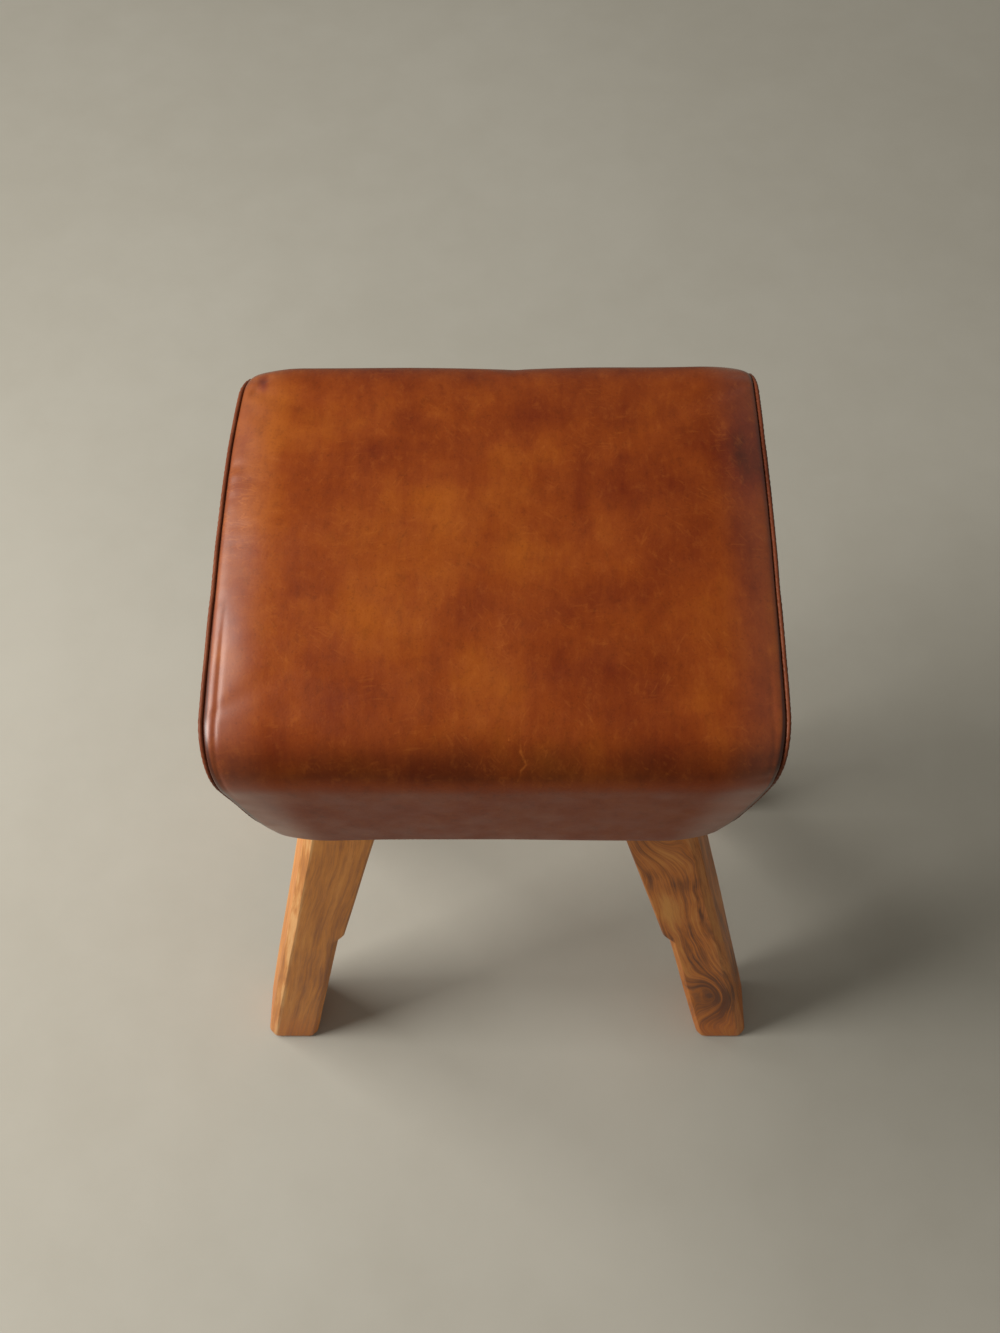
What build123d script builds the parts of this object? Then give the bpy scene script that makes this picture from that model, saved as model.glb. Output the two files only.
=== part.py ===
from build123d import *
import math
import os

# A padded leather seat on four splayed wooden legs, in millimetres.
# +Z is up, the origin is on the floor under the middle of the seat, and the front is towards -Y.

# Seat, over the leather
stool_height = 748
seat_width = 430
seat_depth = 384
seat_thickness = 208
end_lean = 11.4

# Outline of the seat from front to rear
crown_radius = 1222
shoulder_radius = 46
belly_radius = 38
belly_setback = 14
least_corner_share = 0.25

# Leather, its seams and the clearance that soft pieces keep
leather = 2
soft_gap = 0.3
piping_radius = 2.2
piping_sink = 0.8
piping_tuck = 10
seam_draw = 4
shoulder_draw = 1
shoulder_inwards = 30
hem_lap = 18
end_hem_width = 26

# Swell of each leather end and how far in from the seam its two steps stand
swell_edge = 5
swell_edge_inset = 16
swell_middle = 9
swell_middle_inset = 62

# Wooden box and its padding
end_padding = 8
face_padding = 40
rail_thickness = 20
rail_height = 120
rail_ease_width = 12
rail_ease_height = 5
end_rail_thickness = 18
deck_thickness = 15

# Legs: how far in from the seat's lower end they start, how far they run out, and their section
leg_inset = 15
leg_splay = 107
leg_rake = 37
leg_width = 64
leg_depth = 80
waist_width = 56
waist_depth = 73
shank_width = 52
foot_width = 54
foot_depth = 66
stop_height = 262
stop_run = 18
stop_chamfer = 6
outer_chamfer = 7
edge_chamfer = 2
foot_ease = 3
leg_gap = 0.5

# Carriage bolts that hold each leg to its rail
bolt_radius = 4
bolt_clearance = 0.25
bolt_head_radius = 10
bolt_head_height = 4
bolt_recess = 5
bolt_height_low = 32
bolt_height_high = 86
bolt_stub = 3
washer_radius = 10
washer_thickness = 1.6
nut_width = 13
nut_height = 6.5

# Wood screws
screw_radius = 2.2
screw_clearance = 0.15
screw_head_radius = 4.4
screw_head_height = 2.6
screw_recess = 3
rail_screw_length = 58
deck_screw_length = 38
rail_screw_drop_shares = (0.14, 0.36)
deck_screw_span_shares = (0.27, 0.84)
end_deck_screw_span_share = 0.5

# Dust cover and staples under the seat
cover_thickness = 0.8
cover_lap = 4
cover_side_margin = 12
staple_crown = 10
staple_wire = 1.1
staple_leg = 9
staple_clearance = 0.1
staple_inset = 4
hem_staple_inset = 13
hem_staple_span_shares = (-0.92, -0.62, -0.31, 0.0, 0.31, 0.62, 0.92)
cover_staple_span_shares = (-0.82, -0.47, -0.16, 0.16, 0.47, 0.82)
end_staple_span_shares = (-0.7, 0.0, 0.7)
end_cover_staple_span_shares = (-0.35, 0.35)

# Length of every cutting tool past what it cuts
overrun = 5

# Levels and faces that several pieces share
lean = math.radians(end_lean)
underside = stool_height - seat_thickness
box_bottom = underside + leather
deck_bottom = box_bottom + rail_height
deck_top = deck_bottom + deck_thickness
rail_outer = seat_depth / 2 - face_padding
rail_inner = rail_outer - rail_thickness
hem_inner = rail_outer - hem_lap
leg_inner = rail_inner - leg_depth
seam_gap = piping_radius + soft_gap
foam_inset = leather + soft_gap
end_wood = end_padding + end_rail_thickness
panel_rim = piping_sink + piping_radius + soft_gap
pad_floor = panel_rim + leather * 2
end_hem_half = leg_inner - leg_gap * 2 - edge_chamfer * 2
foot_reach = rail_inner + leg_rake


def end_x(level, inwards):
    """Half width of the seat at a level, at a distance inside the seam's leaning plane."""
    return seat_width / 2 - inwards / math.cos(lean) - math.tan(lean) * (stool_height - level)


leg_spread = end_x(underside, 0) - leg_inset
foot_spread = leg_spread + leg_splay


def end_plane(side, outwards):
    """Plane beside an end seam: x is +Y, y is up the leaning end, and the normal is towards +X."""
    return Plane(
        origin=(side * end_x(stool_height, -outwards), 0, stool_height),
        x_dir=(0, 1, 0),
        z_dir=(math.cos(lean), 0, -side * math.sin(lean)),
    )


middle_plane = Plane(origin=(0, 0, stool_height), x_dir=(0, 1, 0), z_dir=(1, 0, 0))
slant_height = seat_thickness / math.cos(lean)


def draw_at(inwards):
    """How far the leather is drawn in: most at the seam, least at the shoulder."""
    share = (inwards - seam_gap) / (shoulder_inwards - seam_gap)
    return seam_draw + (shoulder_draw - seam_draw) * share


def toward(start, angle, length):
    """The point at a length and an angle from another."""
    return (start[0] + length * math.cos(angle), start[1] + length * math.sin(angle))


def outline_half(height, inset, floor_inset):
    """Rear half of the seat's outline, from the top of its crown to the end of its flat underside."""
    shoulder = max(shoulder_radius - inset, shoulder_radius * least_corner_share)
    belly = max(belly_radius - inset, belly_radius * least_corner_share)
    crown = crown_radius - inset
    crown_centre = (0, -crown_radius)
    shoulder_y = seat_depth / 2 - inset - shoulder
    shoulder_v = math.sqrt((crown - shoulder) ** 2 - shoulder_y**2) - crown_radius
    belly_y = seat_depth / 2 - belly_setback - inset - belly
    belly_v = floor_inset + belly - height
    crown_angle = math.atan2(shoulder_v + crown_radius, shoulder_y)
    centres = math.hypot(belly_y - shoulder_y, belly_v - shoulder_v)
    along = math.atan2(belly_v - shoulder_v, belly_y - shoulder_y)
    face_angle = along + math.acos((shoulder - belly) / centres)
    below = -math.pi / 2
    shoulder_centre = (shoulder_y, shoulder_v)
    belly_centre = (belly_y, belly_v)
    return {
        "crown_top": (0, -inset),
        "crown_end": toward(crown_centre, crown_angle, crown),
        "shoulder": toward(shoulder_centre, (crown_angle + face_angle) / 2, shoulder),
        "face_top": toward(shoulder_centre, face_angle, shoulder),
        "face_bottom": toward(belly_centre, face_angle, belly),
        "belly": toward(belly_centre, (face_angle + below) / 2, belly),
        "floor": toward(belly_centre, below, belly),
    }


def flipped(point):
    """The same point on the front half."""
    return (-point[0], point[1])


def outline_edges(height, inset, floor_inset):
    """Outline over the top, from the front of the underside to its rear, in order."""
    rear = outline_half(height, inset, floor_inset)
    front = {name: flipped(point) for name, point in rear.items()}
    return [
        ThreePointArc(front["floor"], front["belly"], front["face_bottom"]),
        Line(front["face_bottom"], front["face_top"]),
        ThreePointArc(front["face_top"], front["shoulder"], front["crown_end"]),
        ThreePointArc(front["crown_end"], rear["crown_top"], rear["crown_end"]),
        ThreePointArc(rear["crown_end"], rear["shoulder"], rear["face_top"]),
        Line(rear["face_top"], rear["face_bottom"]),
        ThreePointArc(rear["face_bottom"], rear["belly"], rear["floor"]),
    ]


def outline_face(plane, height, inset, floor_inset):
    """Closed outline of the seat on a plane, with one inset all round and another from below."""
    edges = outline_edges(height, inset, floor_inset)
    floor_line = Line(edges[-1] @ 1, edges[0] @ 0)
    return plane * make_face(edges + [floor_line])


def end_face(outwards, inset, floor_inset):
    """Closed outline beside the right seam."""
    return outline_face(end_plane(1, outwards), slant_height, inset, floor_inset)


def seat_body(inset, inwards):
    """The seat's form inside the leather's face by an inset, between the two leaning ends."""
    right = [
        end_face(-shoulder_inwards, shoulder_draw + inset, inset),
        end_face(-inwards, draw_at(inwards) + inset, inset),
    ]
    left = [
        outline_face(end_plane(-1, -inwards), slant_height, draw_at(inwards) + inset, inset),
        outline_face(end_plane(-1, -shoulder_inwards), slant_height, shoulder_draw + inset, inset),
    ]
    middle = outline_face(middle_plane, seat_thickness, inset, inset)
    return loft(left + [middle] + right, ruled=True)


def block(low, high):
    """A box between two corners."""
    size = [high[i] - low[i] for i in range(3)]
    middle = [(high[i] + low[i]) / 2 for i in range(3)]
    return Pos(*middle) * Box(*size)


def rod(start, end, radius):
    """A cylinder between two points."""
    axis = Vector(*end) - Vector(*start)
    return extrude(Plane(origin=start, z_dir=axis) * Circle(radius), axis.length)


def both_sides(make):
    """A piece on the right and its mirror image on the left."""
    right = make()
    return right, mirror(right, about=Plane.YZ)


# Leather


def leather_wrap():
    """One hide over the front, the top and the rear, with both hems turned under the rails."""
    skin = seat_body(0, seam_gap) - seat_body(leather, seam_gap)
    floor_opening = block(
        (-seat_width, -hem_inner, underside - overrun),
        (seat_width, hem_inner, box_bottom + soft_gap),
    )
    return skin - floor_opening


def swell_sections(lift):
    """Outlines of the swollen end, from its step near the seam to its middle."""
    edge_inset = panel_rim + swell_edge_inset
    middle_inset = panel_rim + swell_middle_inset
    return [
        end_face(swell_edge + lift, seam_draw + edge_inset, edge_inset),
        end_face(swell_middle + lift, seam_draw + middle_inset, middle_inset),
    ]


def end_panel():
    """Leather end, swollen by its padding, with a hem turned under between the legs."""
    rim_inside = end_face(-leather, seam_draw + panel_rim, panel_rim)
    rim_outside = end_face(0, seam_draw + panel_rim, panel_rim)
    outside = loft([rim_inside, rim_outside] + swell_sections(0), ruled=True)
    inside = loft([rim_inside] + swell_sections(-leather), ruled=True)
    joint = box_bottom + panel_rim
    hem_end = end_x(underside, 0) - end_hem_width
    hem_profile = Polyline(
        (end_x(joint, leather), joint),
        (end_x(joint, 0), joint),
        (end_x(underside, 0), underside),
        (hem_end, underside),
        (hem_end, box_bottom),
        (end_x(box_bottom, leather), box_bottom),
        close=True,
    )
    hem = extrude(Plane.XZ * make_face(hem_profile), end_hem_half, both=True)
    return outside - inside + hem


def piping():
    """Covered cord sewn in the seam, its two ends tucked under the seat."""
    edges = outline_edges(slant_height, seam_draw + piping_sink, piping_sink)
    start = edges[0] @ 0
    end = edges[-1] @ 1
    tuck = Vector(piping_tuck, 0, 0)
    route = [Line(start + tuck, start)] + edges + [Line(end, end - tuck)]
    path = end_plane(1, 0) * Wire(route)
    section = Plane(origin=path @ 0, z_dir=path % 0) * Circle(piping_radius)
    return sweep(section, path=path)


# Padding


def cushion():
    """Foam block on the deck, with the seat's crown and shoulders."""
    above = block(
        (-seat_width, -seat_depth, deck_top),
        (seat_width, seat_depth, stool_height + overrun),
    )
    return seat_body(foam_inset, end_padding) & above


def rear_pad():
    """Foam sheet down the outside of a rail and the deck's edge."""
    beside = block(
        (-seat_width, rail_outer, underside),
        (seat_width, seat_depth, deck_top),
    )
    return seat_body(foam_inset, end_padding) & beside


def leg_meets(inwards):
    """Level above which a leg's outer face is clear of a plane inside the leaning end."""
    slope = (foot_spread - leg_spread) / underside + math.tan(lean)
    apart = leg_spread + leg_gap - end_x(underside, inwards)
    return underside + max(apart / slope, 0) + leg_gap


def leg_notches(inwards):
    """Room for the front and rear leg at the lower corners of an end piece."""
    top = max(leg_meets(inwards), box_bottom)
    low = (0, leg_inner - leg_gap, underside - overrun)
    high = (seat_width, rail_inner + leg_gap, top)
    notch = block(low, high)
    return notch + mirror(notch, about=Plane.XZ)


def end_pad():
    """Foam sheet over the whole end, swollen like the leather over it."""
    sections = [
        end_face(-end_padding, draw_at(end_padding) + foam_inset, pad_floor),
        end_face(-seam_gap, seam_draw + foam_inset, pad_floor),
    ]
    swell = swell_sections(-foam_inset - soft_gap)
    return loft(sections + swell, ruled=True) - leg_notches(end_padding)


# Fasteners


def bolt_places():
    """X and Z of the two bolts in the leg on the right."""
    levels = [box_bottom + height for height in (bolt_height_low, bolt_height_high)]
    return [(leg_centre_x(level), level) for level in levels]


def outer_x(level):
    """X of a leg's outer face at a level."""
    return foot_spread + (leg_spread - foot_spread) * level / underside


def leg_centre_x(level):
    """X of the middle of a leg where it stands inside the box."""
    return outer_x(level) - leg_width / 2


def bolt_way(x, z):
    """Round way for a bolt's shank, from beyond the rear face to the middle."""
    return rod((x, seat_depth, z), (x, 0, z), bolt_radius + bolt_clearance)


def rear_bolt(x, z):
    """Carriage bolt, its domed head in the rail's recess and its thread towards the middle."""
    seat = rail_outer - bolt_recess
    tip = leg_inner - washer_thickness - nut_height - bolt_stub
    shank = rod((x, seat, z), (x, tip, z), bolt_radius)
    head = rod((x, seat, z), (x, seat + bolt_head_height, z), bolt_head_radius)
    rim = head.edges().filter_by(GeomType.CIRCLE).sort_by(Axis.Y)[-1]
    return shank + fillet(rim, bolt_head_height / 2)


def rear_washer(x, z):
    """Washer against the leg's inner face."""
    disc = rod((x, leg_inner, z), (x, leg_inner - washer_thickness, z), washer_radius)
    return disc - bolt_way(x, z)


def rear_nut(x, z):
    """Hexagon nut on the washer."""
    face = leg_inner - washer_thickness
    plane = Plane(origin=(x, face, z), x_dir=(1, 0, 0), z_dir=(0, -1, 0))
    blank = extrude(plane * RegularPolygon(nut_width / 2, 6, major_radius=False), nut_height)
    return blank - bolt_way(x, z)


def rear_bolt_hole(x, z):
    """Hole through the rail and the leg, with the recess for the head."""
    recess = rod(
        (x, rail_outer - bolt_recess, z),
        (x, rail_outer + overrun, z),
        bolt_head_radius + bolt_clearance,
    )
    return bolt_way(x, z) + recess


def screw(head, tip):
    """Countersunk wood screw from the top of its head to its tip."""
    axis = (Vector(*tip) - Vector(*head)).normalized()
    neck = Vector(*head) + axis * screw_head_height
    point = Vector(*tip) - axis * screw_radius * 2
    top = Plane(origin=head, z_dir=axis) * Circle(screw_head_radius)
    under = Plane(origin=neck, z_dir=axis) * Circle(screw_radius)
    shank_end = Plane(origin=point, z_dir=axis) * Circle(screw_radius)
    tip_face = Plane(origin=tip, z_dir=axis) * Circle(screw_radius / 4)
    return loft([top, under, shank_end, tip_face], ruled=True)


def screw_hole(head, tip):
    """Pilot hole and countersink that the screw sits in."""
    axis = (Vector(*tip) - Vector(*head)).normalized()
    start = Vector(*head) - axis * overrun
    neck = Vector(*head) + axis * screw_head_height
    pilot = rod(start, Vector(*tip) + axis * screw_radius, screw_radius + screw_clearance)
    sink = rod(start, neck, screw_head_radius + screw_clearance)
    return pilot + sink


def rear_rail_screws():
    """Heads and tips of the screws through the rear rail into the right end rail."""
    places = []
    for share in rail_screw_drop_shares:
        level = deck_bottom - rail_height * share
        x = end_x(level, end_padding + end_rail_thickness / 2)
        head_y = rail_outer - screw_recess
        places.append(((x, head_y, level), (x, head_y - rail_screw_length, level)))
    return places


def deck_screws_right_rear():
    """Heads and tips of the screws through the deck into the rails, in one quarter of the seat."""
    head_z = deck_top - screw_recess
    tip_z = head_z - deck_screw_length
    rail_y = (rail_outer + rail_inner) / 2
    half_span = end_x(deck_bottom, end_padding)
    places = []
    for share in deck_screw_span_shares:
        places.append(((half_span * share, rail_y, head_z), (half_span * share, rail_y, tip_z)))
    mid_level = (deck_bottom + tip_z) / 2
    end_rail_x = end_x(mid_level, end_padding + end_rail_thickness / 2)
    end_rail_y = rail_inner * end_deck_screw_span_share
    places.append(((end_rail_x, end_rail_y, head_z), (end_rail_x, end_rail_y, tip_z)))
    return places


def staple_prongs(x, y, crown_level, along_x, clearance):
    """The two prongs of a staple that points up."""
    half = staple_crown / 2 - staple_wire / 2
    reach = staple_wire / 2 + clearance
    prongs = Part()
    for end in (-1, 1):
        px = x + end * half * along_x
        py = y + end * half * (1 - along_x)
        prongs += block(
            (px - reach, py - reach, crown_level),
            (px + reach, py + reach, crown_level + staple_leg + clearance),
        )
    return prongs


def staple(x, y, crown_level, along_x):
    """A staple driven up from below, with its crown flat under the cloth or hide."""
    half_x = staple_crown / 2 if along_x else staple_wire / 2
    half_y = staple_wire / 2 if along_x else staple_crown / 2
    crown = block(
        (x - half_x, y - half_y, crown_level - staple_wire),
        (x + half_x, y + half_y, crown_level),
    )
    return crown + staple_prongs(x, y, crown_level, along_x, 0)


def hem_staple_places():
    """X, Y and direction of the staples in the leather's hems."""
    half_span = end_x(box_bottom, end_padding) - staple_crown
    places = []
    for row in (-1, 1):
        for share in hem_staple_span_shares:
            places.append((half_span * share, row * (rail_outer - hem_staple_inset), 1))
    for side in (-1, 1):
        for share in end_staple_span_shares:
            x = end_x(box_bottom, end_padding + staple_inset)
            places.append((side * x, end_hem_half * share, 0))
    return places


cover_edge_y = hem_inner + cover_lap
cover_edge_x = end_x(box_bottom, end_padding + cover_side_margin)


def cover_staple_places():
    """X, Y and direction of the staples round the dust cover."""
    half_span = cover_edge_x - staple_crown
    places = []
    for row in (-1, 1):
        for share in cover_staple_span_shares:
            places.append((half_span * share, row * (cover_edge_y - staple_inset / 2), 1))
    for side in (-1, 1):
        for share in end_cover_staple_span_shares:
            places.append((side * (cover_edge_x - staple_inset / 2), end_hem_half * share, 0))
    return places


def staple_slots(places, crown_level):
    """Slots that the staples' prongs leave in what they hold."""
    slots = Part()
    for x, y, along_x in places:
        slots += staple_prongs(x, y, crown_level - overrun, along_x, staple_clearance)
        slots += staple_prongs(x, y, crown_level, along_x, staple_clearance)
    return slots


# Wooden box


def trapezoid(level_low, level_high, y_low, y_high):
    """A board as long as the box, its ends cut to the lean."""
    outline = Polyline(
        (-end_x(level_low, end_padding), level_low),
        (end_x(level_low, end_padding), level_low),
        (end_x(level_high, end_padding), level_high),
        (-end_x(level_high, end_padding), level_high),
        close=True,
    )
    plane = Plane(origin=(0, y_low, 0), x_dir=(1, 0, 0), z_dir=(0, -1, 0))
    return extrude(plane * make_face(outline), y_low - y_high)


def mirrored_all(shape):
    """A shape at the rear right, and at the three other corners."""
    right = [shape, mirror(shape, about=Plane.XZ)]
    return right + [mirror(one, about=Plane.YZ) for one in right]


def rail(fixings):
    """Rear rail, which the rear legs are bolted to, with its lower outer edge planed off."""
    edge = Polyline(
        (rail_outer - rail_ease_width * 2, box_bottom - rail_ease_height),
        (rail_outer + rail_ease_width, box_bottom + rail_ease_height * 2),
        (rail_outer + rail_ease_width, box_bottom - rail_ease_height),
        close=True,
    )
    shaving = extrude(Plane.YZ * make_face(edge), seat_width, both=True)
    return trapezoid(box_bottom, deck_bottom, rail_inner, rail_outer) - shaving - fixings


def deck(fixings):
    """Plywood deck on the rails."""
    return trapezoid(deck_bottom, deck_top, -rail_outer, rail_outer) - fixings


def end_rail(fixings):
    """Leaning end board between the rails, notched for the legs."""
    outer = [(end_x(level, end_padding), level) for level in (box_bottom, deck_bottom)]
    inner = [(end_x(level, end_wood), level) for level in (deck_bottom, box_bottom)]
    outline = Polyline(*outer, *inner, close=True)
    board = extrude(Plane.XZ * make_face(outline), rail_inner, both=True)
    return board - leg_notches(end_wood) - fixings


# Legs


def chamfered(level, x_low, x_high, y_low, y_high, inner_chamfer):
    """Section of a leg at a level, with its two outer and its two inner corners taken off."""
    outline = Polyline(
        (x_low + inner_chamfer, y_low),
        (x_high - outer_chamfer, y_low),
        (x_high, y_low + outer_chamfer),
        (x_high, y_high - outer_chamfer),
        (x_high - outer_chamfer, y_high),
        (x_low + inner_chamfer, y_high),
        (x_low, y_high - inner_chamfer),
        (x_low, y_low + inner_chamfer),
        close=True,
    )
    return Plane(origin=(0, 0, level)) * make_face(outline)


def leg_section(level, width, depth, inner_chamfer, ease):
    """Section at a level, hung from the leg's two outer faces."""
    x_high = outer_x(level)
    y_high = foot_reach + (rail_inner - foot_reach) * min(level, underside) / underside
    return chamfered(
        level,
        x_high - width + ease,
        x_high - ease,
        y_high - depth + ease,
        y_high - ease,
        inner_chamfer,
    )


def leg(fixings):
    """Splayed leg, its inner corners stop-chamfered from below half its height to the floor."""
    sections = [
        leg_section(0, foot_width, foot_depth, stop_chamfer, foot_ease),
        leg_section(foot_ease, foot_width, foot_depth, stop_chamfer, 0),
        leg_section(stop_height - stop_run / 2, shank_width, waist_depth, stop_chamfer, 0),
        leg_section(stop_height + stop_run / 2, waist_width, waist_depth, edge_chamfer, 0),
        leg_section(underside, leg_width, leg_depth, edge_chamfer, 0),
        leg_section(deck_bottom, leg_width, leg_depth, edge_chamfer, 0),
    ]
    return loft(sections, ruled=True) - fixings


# Dust cover


def dust_cover(slots):
    """Black cloth under the seat, cut round the legs."""
    sheet = block(
        (-cover_edge_x, -cover_edge_y, underside - cover_thickness),
        (cover_edge_x, cover_edge_y, underside),
    )
    notch = block(
        (outer_x(underside) - leg_width - leg_gap, leg_inner - leg_gap, underside - overrun),
        (seat_width, rail_inner + leg_gap, underside + overrun),
    )
    for room in mirrored_all(notch):
        sheet -= room
    return sheet - slots


def build():
    """Every piece by name."""
    bolts = [rear_bolt(x, z) for x, z in bolt_places()]
    washers = [rear_washer(x, z) for x, z in bolt_places()]
    nuts = [rear_nut(x, z) for x, z in bolt_places()]
    bolt_holes = Part() + [rear_bolt_hole(x, z) for x, z in bolt_places()]
    rail_screws = [screw(*place) for place in rear_rail_screws()]
    deck_screws = [screw(*place) for place in deck_screws_right_rear()]
    screw_places = rear_rail_screws() + deck_screws_right_rear()
    screw_holes = Part() + [screw_hole(*place) for place in screw_places]
    all_bolt_holes = Part() + mirrored_all(bolt_holes)
    all_screw_holes = Part() + mirrored_all(screw_holes)

    cover_level = underside - cover_thickness
    hem_slots = staple_slots(hem_staple_places(), underside)
    cover_slots = staple_slots(cover_staple_places(), cover_level)
    slots = hem_slots + cover_slots

    rear = rail(all_bolt_holes + all_screw_holes + slots)
    right_end = end_rail(all_screw_holes + slots)
    right_panel, left_panel = both_sides(end_panel)
    right_piping, left_piping = both_sides(piping)
    right_pad, left_pad = both_sides(end_pad)
    rear_foam = rear_pad()
    rear_right = leg(bolt_holes)
    rear_left = mirror(rear_right, about=Plane.YZ)

    return {
        "leather_wrap": leather_wrap() - slots,
        "right_end_panel": right_panel - slots,
        "left_end_panel": left_panel - slots,
        "right_piping": right_piping,
        "left_piping": left_piping,
        "top_cushion": cushion(),
        "rear_pad": rear_foam,
        "front_pad": mirror(rear_foam, about=Plane.XZ),
        "right_end_pad": right_pad,
        "left_end_pad": left_pad,
        "seat_deck": deck(all_screw_holes),
        "rear_rail": rear,
        "front_rail": mirror(rear, about=Plane.XZ),
        "right_end_rail": right_end,
        "left_end_rail": mirror(right_end, about=Plane.YZ),
        "rear_right_leg": rear_right,
        "rear_left_leg": rear_left,
        "front_right_leg": mirror(rear_right, about=Plane.XZ),
        "front_left_leg": mirror(rear_left, about=Plane.XZ),
        "leg_bolts": [one for bolt in bolts for one in mirrored_all(bolt)],
        "leg_washers": [one for washer in washers for one in mirrored_all(washer)],
        "leg_nuts": [one for nut in nuts for one in mirrored_all(nut)],
        "rail_screws": [one for item in rail_screws for one in mirrored_all(item)],
        "deck_screws": [one for item in deck_screws for one in mirrored_all(item)],
        "dust_cover": dust_cover(slots),
        "hem_staples": [staple(x, y, underside, along) for x, y, along in hem_staple_places()],
        "cover_staples": [staple(x, y, cover_level, along) for x, y, along in cover_staple_places()],
    }


def solids_of(shape):
    """The separate solids of a piece or of a list of pieces."""
    shapes = shape if isinstance(shape, list) else [shape]
    return [solid for one in shapes for solid in one.solids()]


os.makedirs("parts", exist_ok=True)
for name, shape in build().items():
    solids = solids_of(shape)
    whole = solids[0] if len(solids) == 1 else Compound(children=solids)
    export_step(whole, f"parts/{name}.step")
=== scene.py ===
import math

import bmesh
import bpy
import numpy as np
from mathutils import Matrix, Vector


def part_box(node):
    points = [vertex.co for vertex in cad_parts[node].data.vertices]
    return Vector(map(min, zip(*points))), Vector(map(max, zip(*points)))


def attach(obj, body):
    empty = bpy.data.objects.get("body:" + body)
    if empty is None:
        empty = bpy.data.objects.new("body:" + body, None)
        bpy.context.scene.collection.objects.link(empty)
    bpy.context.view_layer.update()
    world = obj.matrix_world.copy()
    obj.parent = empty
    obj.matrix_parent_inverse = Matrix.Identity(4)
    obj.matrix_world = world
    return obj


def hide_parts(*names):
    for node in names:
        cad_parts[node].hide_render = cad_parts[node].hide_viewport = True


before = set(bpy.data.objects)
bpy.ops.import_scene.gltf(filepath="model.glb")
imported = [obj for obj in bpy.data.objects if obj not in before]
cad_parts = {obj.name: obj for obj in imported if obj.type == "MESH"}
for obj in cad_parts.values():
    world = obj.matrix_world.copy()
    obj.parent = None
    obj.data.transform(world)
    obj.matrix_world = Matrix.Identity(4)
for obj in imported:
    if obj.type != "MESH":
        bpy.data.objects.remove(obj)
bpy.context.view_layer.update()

# Sizes are in metres. +Z is up and the front is towards -Y.

# Seat's form
seat_top = 0.748
seat_width = 0.430
seat_depth = 0.384
seat_thickness = 0.208
lean = math.radians(11.4)
crown_radius = 1.222
shoulder_radius = 0.046
belly_radius = 0.038
belly_setback = 0.014
crown_count, shoulder_count, face_count, belly_count, hem_count = 44, 17, 26, 14, 4
underside = seat_top - seat_thickness
leather = 0.002
box_half_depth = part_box("rear_rail")[1].y
rail_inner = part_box("rear_rail")[0].y
hem_inner = rail_inner + 0.002
leg_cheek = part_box("rear_right_leg")[0].y

# Draw of the hide at each end seam, by distance from the crown's middle: the rear below 0, the front above
draw_places = (
    -0.380, -0.360, -0.340, -0.320, -0.290, -0.229, -0.190, -0.165, -0.146, 0.0, 0.100, 0.146, 0.165, 0.180,
    0.193, 0.205, 0.229, 0.248, 0.277, 0.301, 0.320, 0.340, 0.360, 0.380,
)
draws = {
    -1: (
        0.0095, 0.0080, 0.0060, 0.0044, 0.0040, 0.0046, 0.0066, 0.0068, 0.0056, 0.0046, 0.0042, 0.0038, 0.0028,
        0.0018, 0.0009, 0.0005, 0.0008, 0.0008, 0.0008, 0.0015, 0.0030, 0.0055, 0.0080, 0.0095,
    ),
    1: (
        0.0095, 0.0080, 0.0060, 0.0044, 0.0038, 0.0036, 0.0042, 0.0048, 0.0049, 0.0052, 0.0050, 0.0046, 0.0044,
        0.0040, 0.0036, 0.0042, 0.0034, 0.0028, 0.0028, 0.0036, 0.0050, 0.0075, 0.0095, 0.0105,
    ),
}
bow_places = (-0.380, -0.240, -0.210, -0.180, -0.150, -0.090, 0.050, 0.150, 0.380)
bows = {
    -1: (0.0012, 0.0004, -0.0014, -0.0030, -0.0016, 0.0, 0.0, 0.0024, 0.0024),
    1: (0.0012, 0.0012, 0.0012, 0.0010, 0.0008, 0.0, 0.0, 0.0024, 0.0024),
}
roll_width = 0.046
roll_power = 2.1
crown_fill = 0.0024
face_fill_loss = 0.55
face_fill_fade = (0.17, 0.25)
lip_draw = 0.0020
least_lip = 0.0008
lip_width = 0.010
hide_edge = 0.0026
seam_columns = (
    0.0026, 0.0034, 0.0045, 0.0060, 0.0078, 0.0100, 0.0126, 0.0158, 0.0194, 0.0235, 0.028, 0.033,
)
open_columns = 31

# Cloth simulation: what the skin is like, and the share and the most of its move that firm foam lets it keep
firm_leather = {
    "quality": 6,
    "mass": 0.4,
    "tension_stiffness": 25,
    "compression_stiffness": 25,
    "shear_stiffness": 12,
    "bending_stiffness": 6,
    "uniform_pressure_force": 4.0,
}
cloth_frames = 20
cloth_share = 0.42
cloth_cap = 0.0024
pinned_columns = 4
padding_zone = (0.006, 0.05)

# The hide's relief, and how it turns down beside the piping: out and down, twice.
# Waves are the shortest and longest wavelength, how many are added, and the seed.
padding_give = 0.0004
lump_height = 0.0006
lump_waves = ((0.07, 0.17), 10, 3)
pucker_waves = ((0.011, 0.021), 8, 5)
pucker_strength_waves = ((0.05, 0.13), 6, 9)
pucker_height = 0.0003
pucker_place = 0.006
pucker_width = 0.0065
allowance_line = ((0.15, 0.20), (0.0096, 0.0056))
allowance_width = (0.0017, 0.0032)
allowance_depth = 0.0005
seam_turn = ((0.0005, 0.0016), (0.0006, 0.0036))
hem_return = 0.006

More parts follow.
